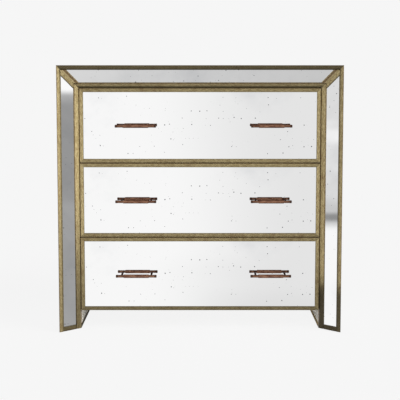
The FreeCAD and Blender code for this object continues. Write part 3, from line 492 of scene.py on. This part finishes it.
def pressed_board(name, base, contrast=0.28):
    """Pressed fibreboard, bare or under one thin coat: even, matt, with fine fibre flecks."""
    material, tree, place = start_material(name)
    # Real fibres are under a millimetre wide; they are drawn at 2.4 mm so that they show.
    fibres = add_node(
        tree, "TexNoise",
        {"Vector": place, "Scale": marks(2.4), "Detail": 4.0, "Roughness": 0.7})
    bands = add_node(tree, "TexNoise", {"Vector": place, "Scale": marks(165), "Detail": 3.0})
    darker = darkened(base, contrast)
    fleck = add_node(tree, "MapRange", {0: fibres, 1: 0.35, 2: 0.65}, **EASED)
    flecked = add_node(tree, "Mix", {0: fleck, MIX_A: darker, MIX_B: base}, **COLOURS)
    soft = add_node(tree, "MapRange", {0: bands, 1: 0.36, 2: 0.68, 4: 0.55}, **EASED)
    cloudy = add_node(
        tree, "Mix", {0: soft, MIX_A: (flecked, MIX_OUT), MIX_B: darker}, **COLOURS)
    rough = add_node(tree, "MapRange", {0: fibres, 1: 0.3, 2: 0.7, 3: 0.55, 4: 0.75}, **EASED)
    relief = add_node(
        tree, "Bump", {"Height": fibres, "Strength": 0.15, "Distance": 0.1 * MM})
    finish_material(tree, add_node(
        tree, "BsdfPrincipled",
        {"Base Color": (cloudy, MIX_OUT), "Roughness": rough, "Normal": relief}))
    return material


def zinc_plate(name, colours):
    """Rolled steel strip with bright zinc plating: satin, with faint lines along the roll."""
    material, tree, place = start_material(name)
    run = add_node(tree, "VectorMath", {0: place, 1: DRAWN_OUT[Y]}, operation="MULTIPLY")
    # Real roll lines are a tenth of a millimetre apart; at 1.4 mm they show.
    roll = add_node(tree, "TexNoise", {"Vector": run, "Scale": marks(1.4), "Detail": 3.0})
    bright = add_node(tree, "MapRange", {0: roll, 1: 0.35, 2: 0.65}, **EASED)
    tone = add_node(
        tree, "Mix", {0: bright, MIX_A: darkened(colours.zinc, 0.28), MIX_B: colours.zinc},
        **COLOURS)
    rough = add_node(tree, "MapRange", {0: roll, 1: 0.3, 2: 0.7, 3: 0.28, 4: 0.42}, **EASED)
    finish_material(tree, add_node(
        tree, "BsdfPrincipled",
        {"Base Color": (tone, MIX_OUT), "Metallic": 1.0, "Roughness": rough}))
    return material


def moulded_nylon(name, colours):
    """Injection-moulded nylon with a fine spark-eroded grain."""
    material, tree, place = start_material(name)
    # Real spark grain is a few hundredths of a millimetre; at 1.1 mm it shows.
    grain = add_node(tree, "TexNoise", {"Vector": place, "Scale": marks(1.1), "Detail": 2.0})
    raised = add_node(tree, "MapRange", {0: grain, 1: 0.4, 2: 0.7}, **EASED)
    tone = add_node(
        tree, "Mix", {0: raised, MIX_A: darkened(colours.nylon, 0.4), MIX_B: colours.nylon},
        **COLOURS)
    rough = add_node(tree, "MapRange", {0: grain, 1: 0.3, 2: 0.7, 3: 0.45, 4: 0.62}, **EASED)
    finish_material(tree, add_node(
        tree, "BsdfPrincipled", {"Base Color": (tone, MIX_OUT), "Roughness": rough}))
    return material


# ---- Modelling ----


def select_faces(piece, test):
    """Goes into edit mode with only the faces selected that pass a test."""
    bpy.ops.object.mode_set(mode="OBJECT")
    mesh = piece.data
    for group in (mesh.vertices, mesh.edges):
        group.foreach_set("select", [False] * len(group))
    for face in mesh.polygons:
        face.select = test(face)
    bpy.ops.object.mode_set(mode="EDIT")
    bpy.ops.mesh.select_mode(type="FACE")


def add_rod(name, radius, start, end, axis, centre, sides):
    """Closed rod between two places along an axis, with its place in its mesh."""
    bpy.ops.object.select_all(action="DESELECT")
    middle = Vector(centre)
    middle[axis] = (start + end) / 2
    turn = {X: (0, math.pi / 2, 0), Y: (-math.pi / 2, 0, 0), Z: (0, 0, 0)}[axis]
    bpy.ops.mesh.primitive_cylinder_add(
        vertices=sides, radius=radius, depth=end - start, location=middle, rotation=turn)
    rod = bpy.context.object
    rod.name = rod.data.name = name
    bpy.ops.object.transform_apply(location=True, rotation=True, scale=True)
    return rod


def turn_end(piece, axis, sign, centre, radius, steps):
    """Draws the end face of a rod out in steps of (length, radius), as on a lathe."""
    select_faces(piece, lambda face: face.normal[axis] * sign > FACING)
    edge = max(vertex.co[axis] * sign for vertex in piece.data.vertices)
    for reach, new_radius in steps:
        edge += reach
        move = Vector((0, 0, 0))
        move[axis] = reach * sign
        bpy.ops.mesh.extrude_region_move(TRANSFORM_OT_translate={"value": move})
        scale = Vector((1, 1, 1)) * (new_radius / radius)
        scale[axis] = 1
        pivot = Vector(centre)
        pivot[axis] = edge * sign
        bpy.ops.transform.resize(value=scale, center_override=pivot)
        radius = new_radius
    bpy.ops.object.mode_set(mode="OBJECT")


def apply_modifier(piece, kind, **settings):
    """Adds a modifier to the active piece and applies it."""
    modifier = piece.modifiers.new(kind.title(), kind)
    for name, setting in settings.items():
        setattr(modifier, name, setting)
    bpy.context.view_layer.objects.active = piece
    bpy.ops.object.modifier_apply(modifier=modifier.name)


def cut_or_join(piece, tool, operation):
    """Boolean of a piece with a tool, which is then thrown away."""
    apply_modifier(piece, "BOOLEAN", object=tool, operation=operation, solver="EXACT")
    bpy.data.objects.remove(tool)


def smooth_by_angle(piece, degrees=35):
    """Smooth shading with the sharp edges kept."""
    bpy.ops.object.select_all(action="DESELECT")
    piece.select_set(True)
    bpy.context.view_layer.objects.active = piece
    bpy.ops.object.shade_smooth_by_angle(angle=math.radians(degrees))


def place_copies(master, name, places, material, body):
    """One piece made of copies of a master, each moved in its own mesh."""
    copies = []
    for place in places:
        copy = master.copy()
        copy.data = master.data.copy()
        copy.data.transform(Matrix.Translation(place))
        bpy.context.scene.collection.objects.link(copy)
        copies.append(copy)
    bpy.ops.object.select_all(action="DESELECT")
    for copy in copies:
        copy.select_set(True)
    bpy.context.view_layer.objects.active = copies[0]
    bpy.ops.object.join()
    piece = bpy.context.object
    piece.name = piece.data.name = name
    piece.data.materials.clear()
    piece.data.materials.append(material)
    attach(piece, body)
    return piece


def pull_centres(sizes):
    """The x of the middle of the left and the right pull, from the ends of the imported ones."""
    half = sizes.sleeve_length / 2 + sizes.neck_length + sizes.cap_length
    return PULL_LOW.x + half, PULL_HIGH.x - half


# ---- Pieces ----


class CHEST_OT_mirrors(bpy.types.Operator):
    """Antiqued mirror on the drawer fronts, the splays, the sides and the top"""

    bl_idname = "chest.mirrors"
    bl_label = "Mirror panes"

    def execute(self, context):
        sizes, colours = context.scene.chest_sizes, context.scene.chest_colours
        fronts = silvered_glass(
            "AntiquedMirrorFronts", colours, sizes, (1, 0, 0), (0, 0, 1),
            pitch=DRAWER_PITCH, lowest=LOWEST_FRONT)
        for drawer in DRAWERS:
            dress(f"{drawer}_mirror", fronts)
        side_lean = math.hypot(1, SPLAY_DEPTH / SIDE_SPLAY)
        top_lean = math.hypot(1, SPLAY_DEPTH / TOP_SPLAY)
        looks = (
            ("Legs", (side_lean, 0, 0), (0, 0, 1), ("left_splay", "right_splay")),
            ("Lintel", (1, 0, 0), (0, 0, top_lean), ("top_splay",)),
            ("Sides", (0, 1, 0), (0, 0, 1), ("left_side", "right_side")),
            ("Top", (1, 0, 0), (0, 1, 0), ("top",)),
        )
        for title, across, up, walls in looks:
            pane = silvered_glass("AntiquedMirror" + title, colours, sizes, across, up)
            for wall in walls:
                dress(f"{wall}_mirror", pane)
        return {"FINISHED"}


class CHEST_OT_mouldings(bpy.types.Operator):
    """Rubbed gilding on every moulding"""

    bl_idname = "chest.mouldings"
    bl_label = "Gilt mouldings"

    def execute(self, context):
        sizes, colours = context.scene.chest_sizes, context.scene.chest_colours
        across = (X, 0.0, HALF_WIDTH, 1.0)
        far = 1.0  # half of a frame of which only the edge at the top or the back counts
        under_top = (Z, HEIGHT - far, far, TOP_SPLAY / SIDE_SPLAY)
        upright = (Z, HEIGHT / 2, HEIGHT / 2, 1.0)
        to_back = (Y, BACK - far, far, 1.0)
        outer_width = HALF_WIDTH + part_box("left_splay_mirror")[0].x
        inner_start = HALF_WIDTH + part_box("inner_moulding")[0].x
        return_width = HALF_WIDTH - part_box("top_mirror")[1].x
        foot_low, foot_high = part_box("foot_mouldings")
        bar, plain = sizes.valley_bar, (0.10, 0.88, 0.35, 0.35)
        side = dict(
            rails=to_back, stiles=upright, start=0.0, width=return_width,
            glaze_and_shade=(0.20, 0.10), quirks=plain)
        # Heavier shares on the rails, and the floor and side shares, are painted shade: the
        # lintel faces down, the sticks darken near the floor, and the right-hand ones more.
        looks = {
            "front_moulding": dict(
                rails=across, stiles=under_top, start=0.0, width=outer_width,
                glaze_and_shade=(0.87, 0.15), quirks=(0.20, 0.66, 0.15, 0.35),
                painted_floor_and_side_shade=((0.0, 0.62, 0.54, 1.0), (0.12, 0.19, 0.08, 0.80))),
            "inner_moulding": dict(
                rails=across, stiles=under_top, start=inner_start,
                width=SIDE_SPLAY - inner_start, glaze_and_shade=(0.46, 0.0),
                quirks=(0.18, 0.50, 0.16, 1.0),
                painted_floor_and_side_shade=((0.04, 0.56, 0.21, 1.0), (0.12, 0.21, 0.0, 0.88))),
            "valley_mouldings": dict(
                rails=across, stiles=under_top, start=-bar, width=2 * bar,
                glaze_and_shade=(0.20, 0.20), quirks=(0.34, 0.92, 0.35, 0.35), lean="SUBTRACT",
                painted_floor_and_side_shade=((0.0, 0.46, 0.50, 1.0), (0.0, 0.46, 0.50, 0.88))),
            "foot_mouldings": dict(
                rails=across, stiles=upright, start=foot_low.z, width=foot_high.z - foot_low.z,
                glaze_and_shade=(0.10, 0.10), quirks=(0.45, 0.90, 0.35, 0.35),
                painted_floor_and_side_shade=((0.0, 0.4, 0.12, 1.0), (0.0, 0.4, 0.0, 1.0)),
                behind=(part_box("inner_moulding")[1].y, 0.0, 0.75)),
            "left_side_moulding": side,
            "right_side_moulding": side,
            "top_moulding": dict(
                rails=across, stiles=to_back, start=0.0, width=return_width,
                glaze_and_shade=(0.15, 0.15), quirks=plain),
        }
        for node, look in looks.items():
            dress(node, rubbed_gilding("RubbedGilding_" + node, colours, sizes, **look))
        front_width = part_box("top_drawer_front_board")[1].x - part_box("top_drawer_mirror")[1].x
        for drawer in DRAWERS:
            low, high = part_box(f"{drawer}_front_board")
            # The rails' heavier share and the darkening near the floor are painted shade.
            dress(f"{drawer}_moulding", rubbed_gilding(
                f"RubbedGilding_{drawer}", colours, sizes, rails=(X, 0.0, high.x, 1.0),
                stiles=(Z, (low.z + high.z) / 2, (high.z - low.z) / 2, 1.0), start=0.0,
                width=front_width, glaze_and_shade=(0.50, 0.17), quirks=(0.14, 0.86, 0.35, 0.35),
                painted_floor_and_side_shade=((0.02, 0.46, 0.40, 1.0),) * 2))
        return {"FINISHED"}


class CHEST_OT_case(bpy.types.Operator):
    """Boards, rails, battens, back and glides of the case"""

    bl_idname = "chest.case"
    bl_label = "Case"

    def execute(self, context):
        sizes, colours = context.scene.chest_sizes, context.scene.chest_colours
        champagne = pressed_board("ChampagneLacqueredBoard", colours.champagne, 0.06)
        bare = pressed_board("MediumDensityFibreboard", colours.fibreboard)
        dark = pressed_board("DarkStainedHardboard", colours.dark_paint, 0.42)
        pine = planed_wood("PlanedPine", colours.pine, colours.birch_dark, sizes, X)
        dress("bottom_board", champagne)
        for side in SIDES:
            dress(f"{side}_inner_board", champagne)
            dress(f"{side}_outer_board", bare)
            dress(f"{side}_splay_board", bare)
            dress(f"{side}_wall_battens", pine)
        for node in ("top_board", "top_splay_board"):
            dress(node, bare)
        dress("top_battens", pine)
        for node in ("ceiling_board", "divider_rails", "back_panel"):
            dress(node, dark)
        dress("floor_glides", moulded_nylon("BlackNylon", colours))
        return {"FINISHED"}


class CHEST_OT_drawers(bpy.types.Operator):
    """Front boards, boxes and bottoms of the drawers"""

    bl_idname = "chest.drawers"
    bl_label = "Drawer boxes"

    def execute(self, context):
        sizes, colours = context.scene.chest_sizes, context.scene.chest_colours
        pale, dark = colours.birch_pale, colours.birch_dark
        front = pressed_board("ChampagneLacqueredFront", colours.champagne, 0.12)
        side = planed_wood("LacqueredBirchSides", pale, dark, sizes, Y)
        end = planed_wood("LacqueredBirchEnds", pale, dark, sizes, X)
        bottom = planed_wood("BirchPlywoodBottom", colours.veneer, pale, sizes, X)
        for drawer in DRAWERS:
            dress(f"{drawer}_front_board", front)
            dress(f"{drawer}_box_sides", side)
            dress(f"{drawer}_box_ends", end)
            dress(f"{drawer}_bottom", bottom)
        return {"FINISHED"}


class CHEST_OT_slides(bpy.types.Operator):
    """Telescopic slides of zinc-plated steel"""

    bl_idname = "chest.slides"
    bl_label = "Drawer slides"

    def execute(self, context):
        steel = zinc_plate("ZincPlatedSteel", context.scene.chest_colours)
        dress("case_slide_members", steel)
        for drawer in DRAWERS:
            dress(f"{drawer}_middle_slides", steel)
            dress(f"{drawer}_inner_slides", steel)
        return {"FINISHED"}


class CHEST_OT_pulls(bpy.types.Operator):
    """Turned bronze bar pulls, two on each drawer"""

    bl_idname = "chest.pulls"
    bl_label = "Bar pulls"

    def execute(self, context):
        sizes, colours = context.scene.chest_sizes, context.scene.chest_colours
        centres = pull_centres(sizes)
        bronze = brown_bronze("BrownPatinaBronze", colours, sizes, centres)
        sleeve, neck = sizes.sleeve_diameter / 2, sizes.neck_diameter / 2
        cap, half = sizes.cap_diameter / 2, sizes.sleeve_length / 2
        y = MIRROR_FACE - sizes.pull_projection + sleeve
        centre = (0, y, 0)
        master = add_rod("pull_master", sleeve, -half, half, X, centre, sides=40)
        step, dome, rounding, arris = 0.6 * MM, 0.9 * MM, 1.1 * MM, 0.35 * MM
        steps = (
            (step, neck), (sizes.neck_length - 2 * step, neck), (step, cap),
            (sizes.cap_length - dome, cap), (dome, cap - rounding),
        )
        for sign in (-1, 1):
            turn_end(master, X, sign, centre, sleeve, steps)
        apply_modifier(master, "BEVEL", width=arris, segments=2, limit_method="ANGLE",
                       angle_limit=math.radians(25))
        post, spread, collar = sizes.post_diameter / 2, 0.5 * MM, 1.2 * MM
        for sign in (-1, 1):
            x = sign * sizes.post_spacing / 2
            peg = add_rod("post", post, y, MIRROR_FACE - 2 * collar, Y, (x, 0, 0), sides=32)
            turn_end(peg, Y, 1, (x, 0, 0), post, ((collar, post + spread),) * 2)
            cut_or_join(master, peg, "UNION")
        smooth_by_angle(master)
        for drawer in DRAWERS:
            low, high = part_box(f"{drawer}_pulls")
            height = (low.z + high.z) / 2
            places = [(x, 0, height) for x in centres]
            pulls = place_copies(
                master, f"{drawer}_bar_pulls", places, bronze, drawer)
            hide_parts(f"{drawer}_pulls")
        bpy.data.objects.remove(master)
        return {"FINISHED"}


class CHEST_OT_screws(bpy.types.Operator):
    """Pan-head screws that hold the pulls, inside each drawer front, and the back panel"""

    bl_idname = "chest.screws"
    bl_label = "Screws"

    def execute(self, context):
        sizes = context.scene.chest_sizes
        steel = zinc_plate("ZincPlatedScrews", context.scene.chest_colours)
        radius, rise = sizes.screw_head / 2, sizes.screw_rise
        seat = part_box("top_drawer_box_ends")[0].y + sizes.box_wall
        master = add_rod("screw_master", radius, seat, seat + rise, Y, (0, 0, 0), sides=28)
        select_faces(master, lambda face: face.normal.y > FACING)
        bpy.ops.mesh.bevel(offset=0.6 * rise, segments=4, profile=0.55, affect="EDGES")
        bpy.ops.object.mode_set(mode="OBJECT")
        slot_length, slot_width, slot_depth = 1.3 * radius, 0.9 * MM, 1.1 * MM
        for spans in ((slot_length, slot_width), (slot_width, slot_length)):
            bpy.ops.object.select_all(action="DESELECT")
            bpy.ops.mesh.primitive_cube_add(
                size=1, location=(0, seat + rise, 0), scale=(spans[0], 2 * slot_depth, spans[1]))
            cut_or_join(master, bpy.context.object, "DIFFERENCE")
        smooth_by_angle(master)
        half_spacing = sizes.post_spacing / 2
        for drawer in DRAWERS:
            low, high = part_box(f"{drawer}_pulls")
            height = (low.z + high.z) / 2
            places = [
                (x + sign * half_spacing, 0, height)
                for x in pull_centres(sizes) for sign in (-1, 1)
            ]
            place_copies(master, f"{drawer}_pull_screws", places, steel, drawer)

        # The back panel is screwed to the rear edges of the boards that lie against it.
        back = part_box("back_panel")[1].y - seat
        wall = sum(edge.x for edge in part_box("right_inner_board")) / 2
        ceiling = sum(edge.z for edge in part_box("ceiling_board")) / 2
        floor = sum(edge.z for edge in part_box("bottom_board")) / 2
        rows = [(x * wall / 4, back, z) for x in range(-3, 4, 2) for z in (floor, ceiling)]
        step = (ceiling - floor) / 5
        rows += [
            (side * wall, back, floor + count * step) for side in (-1, 1) for count in range(6)]
        place_copies(master, "back_panel_screws", rows, steel, "case")
        bpy.data.objects.remove(master)
        return {"FINISHED"}


# ---- Studio ----

# Pale and grey walls at the sides of the studio, in front, that only mirrors and metal see. Each
# is (side, lowest z, highest z, blur, tone) of the direction that is looked in.
WALLS = (
    (1, -1.0, 1.0, 0.010, 1.03),
    (1, -1.0, -0.0185, 0.004, 0.46),
    (1, -1.0, -0.0270, 0.007, 0.33),
    (1, -1.0, -0.1350, 0.006, 0.375),
    (-1, -0.1590, 1.0, 0.004, 0.765),
    (-1, -0.1020, -0.0480, 0.003, 0.84),
    (-1, -0.0720, -0.0580, 0.004, 0.98),
    (-1, -0.1590, -0.1340, 0.008, 0.60),
    (-1, -0.1550, -0.1470, 0.003, 0.30),
)
SUNS = (
    # name, property, degrees to the right of the front, degrees up, degrees across
    ("KeySun", "key", 62, 36, 34),
    ("FrontSun", "front", 12, 48, 40),
)


def sun_direction(azimuth, elevation):
    """Direction towards a sun, from degrees right of the front and degrees up."""
    turn, rise = math.radians(azimuth), math.radians(elevation)
    level = math.cos(rise)
    return Vector((math.sin(turn) * level, -math.cos(turn) * level, math.sin(rise)))


def seen_directly(tree, rays):
    """1 for rays from the camera, straight or through glass."""
    return add_node(
        tree, "Math", {0: (rays, "Is Camera Ray"), 1: (rays, "Is Transmission Ray")},
        operation="MAXIMUM")


def front_tone(tree, split):
    """Tone of the studio in front of the chest, by the direction that is looked in.

    It falls off a little to the right, later in a band below the middle and sooner low down,
    and it is dimmer underneath.
    """
    above = add_node(
        tree, "MapRange", {0: (split, "Z"), 1: -0.210, 2: -0.185, 4: -0.025}, **EASED)
    below = add_node(
        tree, "MapRange", {0: (split, "Z"), 1: -0.104, 2: -0.085, 3: 1.0, 4: 0.0}, **EASED)
    later = add_node(
        tree, "Math", {0: above, 1: below, 2: (split, "X")}, operation="MULTIPLY_ADD")
    tone = add_node(
        tree, "MapRange", {0: later, 1: -0.07, 2: 0.09, 3: 1.01, 4: 0.84}, **EASED)
    on_right = add_node(tree, "MapRange", {0: (split, "X"), 1: -0.03, 2: 0.03}, **EASED)
    low_down = add_node(
        tree, "MapRange", {0: (split, "Z"), 1: -0.245, 2: -0.220, 3: -0.045, 4: 0.0}, **EASED)
    tone = add_node(
        tree, "Math", {0: on_right, 1: low_down, 2: tone}, operation="MULTIPLY_ADD")
    under_tone = add_node(
        tree, "MapRange", {0: (split, "X"), 1: -0.13, 2: 0.13, 3: 0.727, 4: 0.609})
    under = add_node(
        tree, "MapRange", {0: (split, "Z"), 1: -0.95, 2: -0.70, 3: 1.0, 4: 0.0}, **EASED)
    return add_node(tree, "Mix", {0: under, 2: tone, 3: under_tone})


def add_walls(tree, look, split, tone):
    """Tone with the studio's walls in front of it, which are faintly streaked."""
    slant = add_node(tree, "VectorMath", {0: look, 1: (0.0, 1.0, 1.0)}, operation="DOT_PRODUCT")
    streak = add_node(
        tree, "TexNoise", {"W": (slant, "Value"), "Scale": 42.0, "Detail": 2.0},
        noise_dimensions="1D")
    uneven = add_node(tree, "MapRange", {0: streak, 1: 0.3, 2: 0.7, 3: 0.97, 4: 1.03}, **EASED)
    forward = add_node(
        tree, "MapRange", {0: (split, "Y"), 1: -0.24, 2: -0.14, 3: 1.0, 4: 0.0}, **EASED)
    for side, lowest, highest, blur, wall_tone in WALLS:
        sideways = add_node(tree, "Math", {0: (split, "X"), 1: side}, operation="MULTIPLY")
        bounds = (
            (sideways, 0.80, 0.93, 0.0, 1.0),
            ((split, "Z"), lowest - blur, lowest + blur, 0.0, 1.0),
            ((split, "Z"), highest - blur, highest + blur, 1.0, 0.0),
        )
        part = forward
        for place, begin, end, before, after in bounds:
            share = add_node(
                tree, "MapRange", {0: place, 1: begin, 2: end, 3: before, 4: after}, **EASED)
            part = add_node(tree, "Math", {0: part, 1: share}, operation="MULTIPLY")
        shade = add_node(tree, "Math", {0: uneven, 1: wall_tone}, operation="MULTIPLY")
        tone = add_node(tree, "Mix", {0: part, 2: tone, 3: shade})
    return tone


def studio_world(scene, studio):
    """World that lights evenly, shows the backdrop to the camera and a studio to mirrors."""
    world = bpy.data.worlds.new("StudioWorld")
    scene.world = world
    world.use_nodes = True
    tree = world.node_tree
    tree.nodes.clear()
    look = (add_node(tree, "TexCoord"), "Generated")
    split = add_node(tree, "SeparateXYZ", {0: look})
    rays = add_node(tree, "LightPath")
    tone = add_walls(tree, look, split, front_tone(tree, split))
    white = (1.0, 1.0, 1.0, 1.0)
    even = add_node(tree, "Background", {"Color": white, "Strength": studio.sky})
    mirrored = add_node(tree, "Background", {"Color": white, "Strength": tone})
    backdrop = add_node(tree, "Background", {"Color": studio.backdrop, "Strength": 1.0})
    lit = add_node(tree, "MixShader", {0: (rays, "Is Glossy Ray"), 1: even, 2: mirrored})
    shown = add_node(tree, "MixShader", {0: seen_directly(tree, rays), 1: lit, 2: backdrop})
    add_node(tree, "OutputWorld", {"Surface": shown})


def studio_floor(studio):
    """Pale floor, level with the backdrop, which keeps a soft shadow of the chest."""
    bpy.ops.object.select_all(action="DESELECT")
    bpy.ops.mesh.primitive_plane_add(size=FLOOR_ACROSS)
    floor = bpy.context.object
    floor.name = "studio_floor"
    floor.visible_glossy = False
    material, tree, _ = start_material("PaintedStudioFloor")
    level = studio.sky + sum(
        getattr(studio, level_name) * sun_direction(azimuth, elevation).z
        for _, level_name, azimuth, elevation, _ in SUNS)
    share = studio.shadow
    seen = seen_directly(tree, add_node(tree, "LightPath"))
    glow = add_node(tree, "Emission", {"Color": studio.backdrop, "Strength": 1 - share})
    lit = add_node(
        tree, "BsdfDiffuse", {"Color": darkened(studio.backdrop, 1 - share / level)})
    shown = add_node(tree, "AddShader", {0: glow, 1: lit})
    bounce = add_node(
        tree, "BsdfDiffuse", {"Color": darkened(studio.backdrop, 1 - studio.bounce)})
    finish_material(tree, add_node(tree, "MixShader", {0: seen, 1: bounce, 2: shown}))
    floor.data.materials.append(material)


class CHEST_OT_studio(bpy.types.Operator):
    """Floor, world, soft suns and the camera"""

    bl_idname = "chest.studio"
    bl_label = "Studio"

    def execute(self, context):
        scene, studio = context.scene, context.scene.chest_studio
        scene.view_settings.view_transform = "Standard"
        studio_world(scene, studio)
        studio_floor(studio)
        for name, level_name, azimuth, elevation, across in SUNS:
            aim = sun_direction(azimuth, elevation)
            bpy.ops.object.light_add(type="SUN", rotation=aim.to_track_quat("Z", "Y").to_euler())
            sun = bpy.context.object
            sun.name = name
            sun.data.energy = getattr(studio, level_name) * math.pi
            sun.data.angle = math.radians(across)
            sun.visible_glossy = False
        bpy.ops.object.camera_add(
            location=(0, cad_bounds[0].y - studio.distance, studio.eye_height),
            rotation=(math.pi / 2 - studio.pitch, 0, 0))
        camera = bpy.context.object
        camera.data.sensor_width = 36.0
        camera.data.lens = studio.lens
        camera.data.shift_y = studio.shift
        scene.camera = camera
        return {"FINISHED"}


# ---- Add-on ----


OPERATORS = (
    CHEST_OT_mirrors, CHEST_OT_mouldings, CHEST_OT_case, CHEST_OT_drawers, CHEST_OT_slides,
    CHEST_OT_pulls, CHEST_OT_screws, CHEST_OT_studio,
)
GROUPS = (
    ("chest_sizes", ChestSizes), ("chest_colours", ChestColours), ("chest_studio", ChestStudio),
)


class CHEST_PT_pieces(bpy.types.Panel):
    """Makes the chest's pieces one by one"""

    bl_idname = "CHEST_PT_pieces"
    bl_label = "Mirrored chest"
    bl_space_type = "VIEW_3D"
    bl_region_type = "UI"
    bl_category = "Chest"

    def draw(self, context):
        for operator in OPERATORS:
            self.layout.operator(operator.bl_idname)
        for group, _ in GROUPS:
            held = getattr(context.scene, group)
            column = self.layout.column()
            for name in held.bl_rna.properties.keys():
                if name not in ("rna_type", "name"):
                    column.prop(held, name)


def register():
    """Registers the properties, the operators and the panel."""
    for name, group in GROUPS:
        bpy.utils.register_class(group)
        setattr(bpy.types.Scene, name, bpy.props.PointerProperty(type=group))
    for operator in OPERATORS:
        bpy.utils.register_class(operator)
    bpy.utils.register_class(CHEST_PT_pieces)


def unregister():
    """Takes away again what register added."""
    bpy.utils.unregister_class(CHEST_PT_pieces)
    for operator in reversed(OPERATORS):
        bpy.utils.unregister_class(operator)
    for name, group in reversed(GROUPS):
        delattr(bpy.types.Scene, name)
        bpy.utils.unregister_class(group)


def main():
    """Makes every piece and the studio."""
    register()
    bpy.ops.chest.mirrors()
    bpy.ops.chest.mouldings()
    bpy.ops.chest.case()
    bpy.ops.chest.drawers()
    bpy.ops.chest.slides()
    bpy.ops.chest.pulls()
    bpy.ops.chest.screws()
    bpy.ops.chest.studio()


if __name__ == "__main__":
    main()
